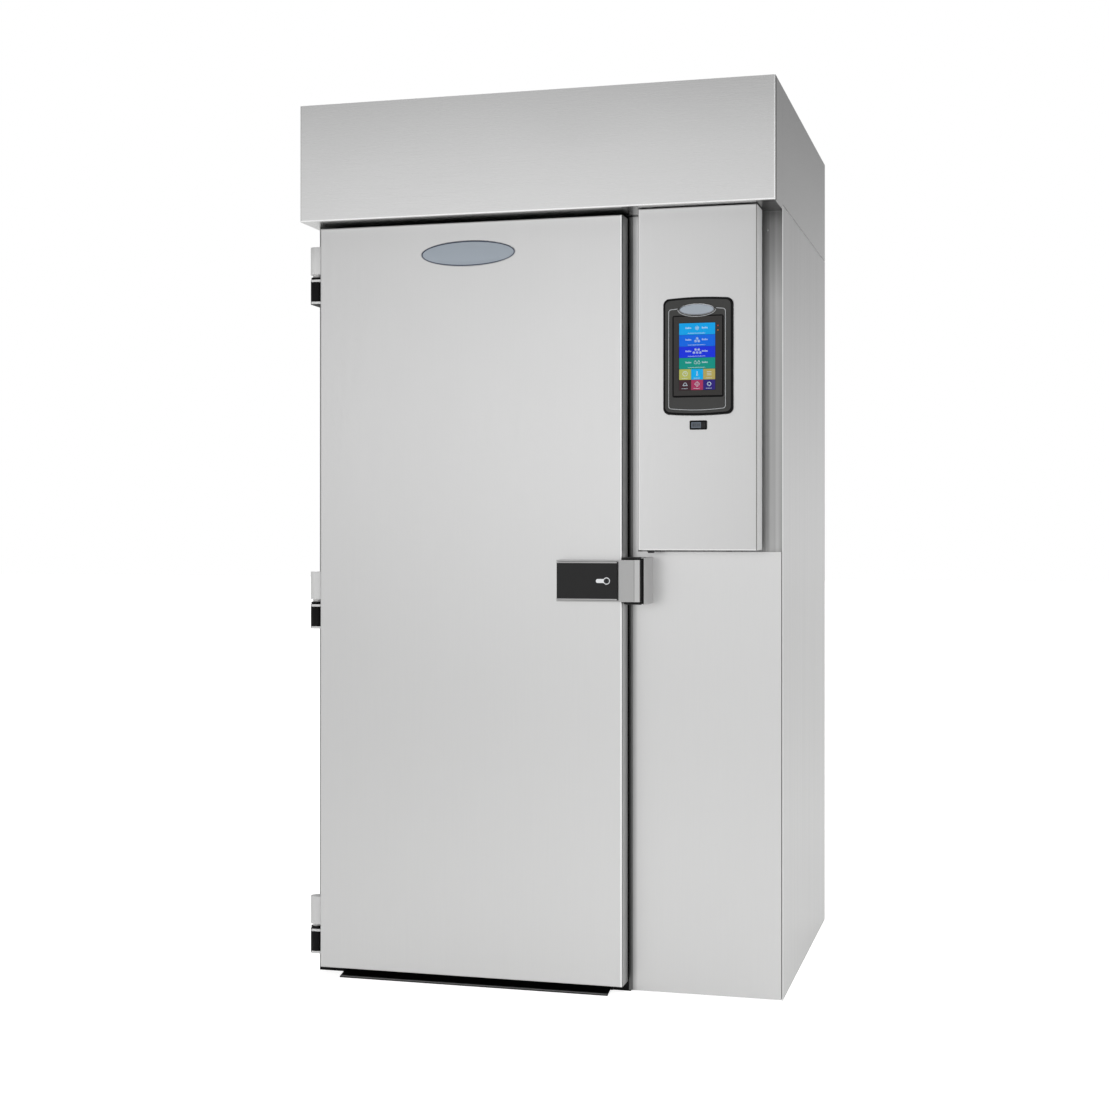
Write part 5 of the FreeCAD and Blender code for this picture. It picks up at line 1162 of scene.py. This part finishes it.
# %% Fins and tubes
def fin_tree():
    """A thin plate on every point of a row along Y."""
    tree, sizes = new_tree("coil_fins", count=120, pitch=0.006, width=0.11, height=1.65, sheet=0.0004)
    offset = add(tree, "ShaderNodeCombineXYZ", {"Y": sizes.outputs["pitch"]})
    row = add(tree, "GeometryNodeMeshLine", {"Count": sizes.outputs["count"], "Offset": offset.outputs[0]},
              mode="OFFSET")
    size = add(tree, "ShaderNodeCombineXYZ", {"X": sizes.outputs["width"], "Y": sizes.outputs["sheet"],
                                              "Z": sizes.outputs["height"]})
    plate = add(tree, "GeometryNodeMeshCube", {"Size": size.outputs[0]})
    fins = add(tree, "GeometryNodeInstanceOnPoints", {"Points": row.outputs[0],
                                                      "Instance": plate.outputs["Mesh"]})
    stacks = add(tree, "GeometryNodeInstanceOnPoints", {"Points": sizes.outputs["Geometry"],
                                                        "Instance": fins.outputs[0]})
    close_tree(tree, stacks.outputs[0], sizes.outputs["Finish"])
    return tree


def tube_tree():
    """A tube along Y on every point."""
    tree, sizes = new_tree("coil_tubes", radius=0.006, length=0.74)
    tube = add(tree, "GeometryNodeMeshCylinder", {"Vertices": 12, "Radius": sizes.outputs["radius"],
                                                  "Depth": sizes.outputs["length"]})
    along = add(tree, "GeometryNodeTransform", {"Geometry": tube.outputs["Mesh"],
                                                "Rotation": (math.pi / 2, 0.0, 0.0)})
    tubes = add(tree, "GeometryNodeInstanceOnPoints", {"Points": sizes.outputs["Geometry"],
                                                       "Instance": along.outputs[0]})
    close_tree(tree, tubes.outputs[0], sizes.outputs["Finish"])
    return tree


coil_low, coil_high = corners("coil_fins")
FIN_PITCH = 6.0
fin_count = int((coil_high.y - coil_low.y - 4) / FIN_PITCH)
fin_start = (coil_low.y + coil_high.y - (fin_count - 1) * FIN_PITCH) / 2
coil_middle = (coil_low + coil_high) / 2
first_fin = (coil_middle.x, fin_start, coil_middle.z)
fins = grow("coil_fin_stack", fin_tree(), "cabinet", [first_fin], satin_aluminium, count=fin_count,
            pitch=FIN_PITCH * MM, width=(coil_high.x - coil_low.x) * MM,
            height=(coil_high.z - coil_low.z) * MM)
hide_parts("coil_fins")
BEND_ROWS, BEND_RADIUS, BEND_STAGGER = 8, 15.0, 20.0
row_pitch = (coil_high.z - coil_low.z) / BEND_ROWS
tube_points = []
for row in range(BEND_ROWS):
    level = coil_low.z + (row + 0.5) * row_pitch
    side = BEND_STAGGER if row % 2 else -BEND_STAGGER
    for leg in (-BEND_RADIUS, BEND_RADIUS):
        tube_points.append((coil_middle.x + side, coil_middle.y, level + leg))
grow("coil_tubes", tube_tree(), "cabinet", tube_points, copper_tube, smooth=60,
     length=(coil_high.y - coil_low.y) * MM)

# %% [markdown]
# ## Foam sleeves on the cold pipe
# The suction pipe is colder than the room, so a black foam sleeve keeps it dry. It covers the
# pipe over the coil and above the ceiling, and leaves the pipe's end free for the fitter.

# %% Foam sleeves
pipe_low, pipe_high = corners("suction_pipe")
ceiling_low, ceiling_high = corners("ceiling_panel")
pipe_x, pipe_y = (pipe_low.x + pipe_high.x) / 2, (pipe_low.y + pipe_high.y) / 2
SLEEVE = 9.0
SLEEVE_STEPS = 28


def foam_sleeve(name, low, high):
    """A tube of foam round the pipe, with softly rounded ends."""
    inner = (pipe_high.x - pipe_low.x) / 2 + 0.2
    outer = inner + SLEEVE
    section = ((inner, low), (outer - 2, low), (outer, low + 2), (outer, high - 2), (outer - 2, high),
               (inner, high))
    rings = []
    for step in range(SLEEVE_STEPS):
        turn = 2 * math.pi * step / SLEEVE_STEPS
        rings.append([(pipe_x + radius * math.cos(turn), pipe_y + radius * math.sin(turn), z)
                      for radius, z in section])
    mesh = loft(name, rings + rings[:1], close_ends=(False, False))
    return piece_of(name, mesh, "cabinet", pipe_sleeve, smooth=50)


foam_sleeve("pipe_sleeve_inside", pipe_low.z + 20, ceiling_low.z - 1)
foam_sleeve("pipe_sleeve_roof", ceiling_high.z + 1, ceiling_high.z + 130)
print("Sleeves on the pipe at", round(pipe_x), round(pipe_y))

# %% [markdown]
# ## The studio
# The object stands on a wide floor of white paper. Around it is a soft light tent: bright low in
# front, dimmer higher up, to the left and behind, with a bright patch overhead. Polished sheet
# shows what stands around it, so this tent is what shades the front and the side of the cabinet.
# To the camera itself the tent is plain white, as the background of a catalogue picture is.

# %% Show the scene's values as they are
# A product picture keeps its white background white, so the plain display curve is used.
bpy.context.scene.view_settings.view_transform = "Standard"
print("Display curve:", bpy.context.scene.view_settings.view_transform)

# %% The paper floor
FLOOR_REACH = 40.0
floor_mesh = bpy.data.meshes.new("studio_floor")
floor_corners = [(x * FLOOR_REACH, y * FLOOR_REACH, 0) for x, y in ((-1, -1), (1, -1), (1, 1), (-1, 1))]
floor_mesh.from_pydata(floor_corners, [], [(0, 1, 2, 3)])
floor = bpy.data.objects.new("studio_floor", floor_mesh)
bpy.context.collection.objects.link(floor)
white_paper, paper_tree, paper_output = blank_material("white_paper")
fibre = add(paper_tree, "ShaderNodeTexNoise", {"Scale": 350.0, "Detail": 2.0})
paper_bump = add(paper_tree, "ShaderNodeBump", {"Height": fibre.outputs["Fac"], "Strength": 0.03})
paper_eye = add(paper_tree, "ShaderNodeLightPath").outputs["Is Camera Ray"]
paper_glow = add(paper_tree, "ShaderNodeMapRange", {"Value": paper_eye, "To Min": 0.28, "To Max": 0.85})
paper = add(paper_tree, "ShaderNodeBsdfPrincipled", {"Base Color": linear("EFEFEE"), "Roughness": 0.9,
                                                    "Emission Color": linear("FFFFFF"),
                                                    "Emission Strength": paper_glow.outputs[0],
                                                    "Normal": paper_bump.outputs[0]})
paper_tree.links.new(paper.outputs[0], paper_output.inputs["Surface"])
floor_mesh.materials.append(white_paper)
floor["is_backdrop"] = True

# %% The light tent
world = bpy.data.worlds.new("light_tent")
world.use_nodes = True
bpy.context.scene.world = world
sky = world.node_tree
sky.nodes.clear()
direction = add(sky, "ShaderNodeTexCoord").outputs["Generated"]
part = add(sky, "ShaderNodeSeparateXYZ", {"Vector": direction})


def fade(value, start, end, low, high):
    """A smooth change of light from low to high as a direction's part goes from start to end."""
    return add(sky, "ShaderNodeMapRange", {"Value": value, "From Min": start, "From Max": end, "To Min": low,
                                           "To Max": high}, interpolation_type="SMOOTHSTEP").outputs[0]


def times(one, other):
    """Two parts of the light multiplied."""
    return add(sky, "ShaderNodeMath", {0: one, 1: other}, operation="MULTIPLY").outputs[0]


front_light = fade(part.outputs["Z"], 0.12, 0.36, 1.46, 0.18)
back_light = fade(part.outputs["Z"], -0.02, 0.26, 0.82, 0.30)
is_back = fade(part.outputs["Y"], -0.35, 0.45, 0.0, 1.0)
around_light = add(sky, "ShaderNodeMix", {"Factor": is_back, 2: front_light, 3: back_light},
                   data_type="FLOAT")
front_right = fade(part.outputs["X"], -0.26, 0.0, 1.0, 0.8)
left_dim = fade(part.outputs["X"], -0.62, -0.28, 0.55, 1.0)
right_of_front = add(sky, "ShaderNodeMix", {"Factor": is_back, 2: front_right, 3: 1.0}, data_type="FLOAT")
tent = times(times(around_light.outputs[0], right_of_front.outputs[0]), left_dim)
overhead = fade(part.outputs["Z"], 0.5, 0.85, 1.0, 4.0)
tent_light = add(sky, "ShaderNodeBackground", {"Color": linear("FFFFFF"), "Strength": times(tent, overhead)})
plain_white = add(sky, "ShaderNodeBackground", {"Color": linear("FFFFFF"), "Strength": 1.0})
eye = add(sky, "ShaderNodeLightPath").outputs["Is Camera Ray"]
seen = add(sky, "ShaderNodeMixShader", {0: eye, 1: tent_light.outputs[0], 2: plain_white.outputs[0]})
sky_output = sky.nodes.new("ShaderNodeOutputWorld")
sky.links.new(seen.outputs[0], sky_output.inputs["Surface"])


def lamp(name, place, target, width, height, power):
    """A rectangular soft box that looks at a target."""
    light = bpy.data.lights.new(name, "AREA")
    light.shape = "RECTANGLE"
    light.size = width
    light.size_y = height
    light.energy = power
    box = bpy.data.objects.new(name, light)
    box.location = place
    box.rotation_euler = (Vector(target) - Vector(place)).to_track_quat("-Z", "Y").to_euler()
    bpy.context.collection.objects.link(box)
    return box


lamp("soft_box_top", place=(0.4, -2.4, 5.6), target=(0, 0, 0.6), width=4.0, height=3.0, power=110)

# %% Find the bounds of everything shown
low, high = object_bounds()
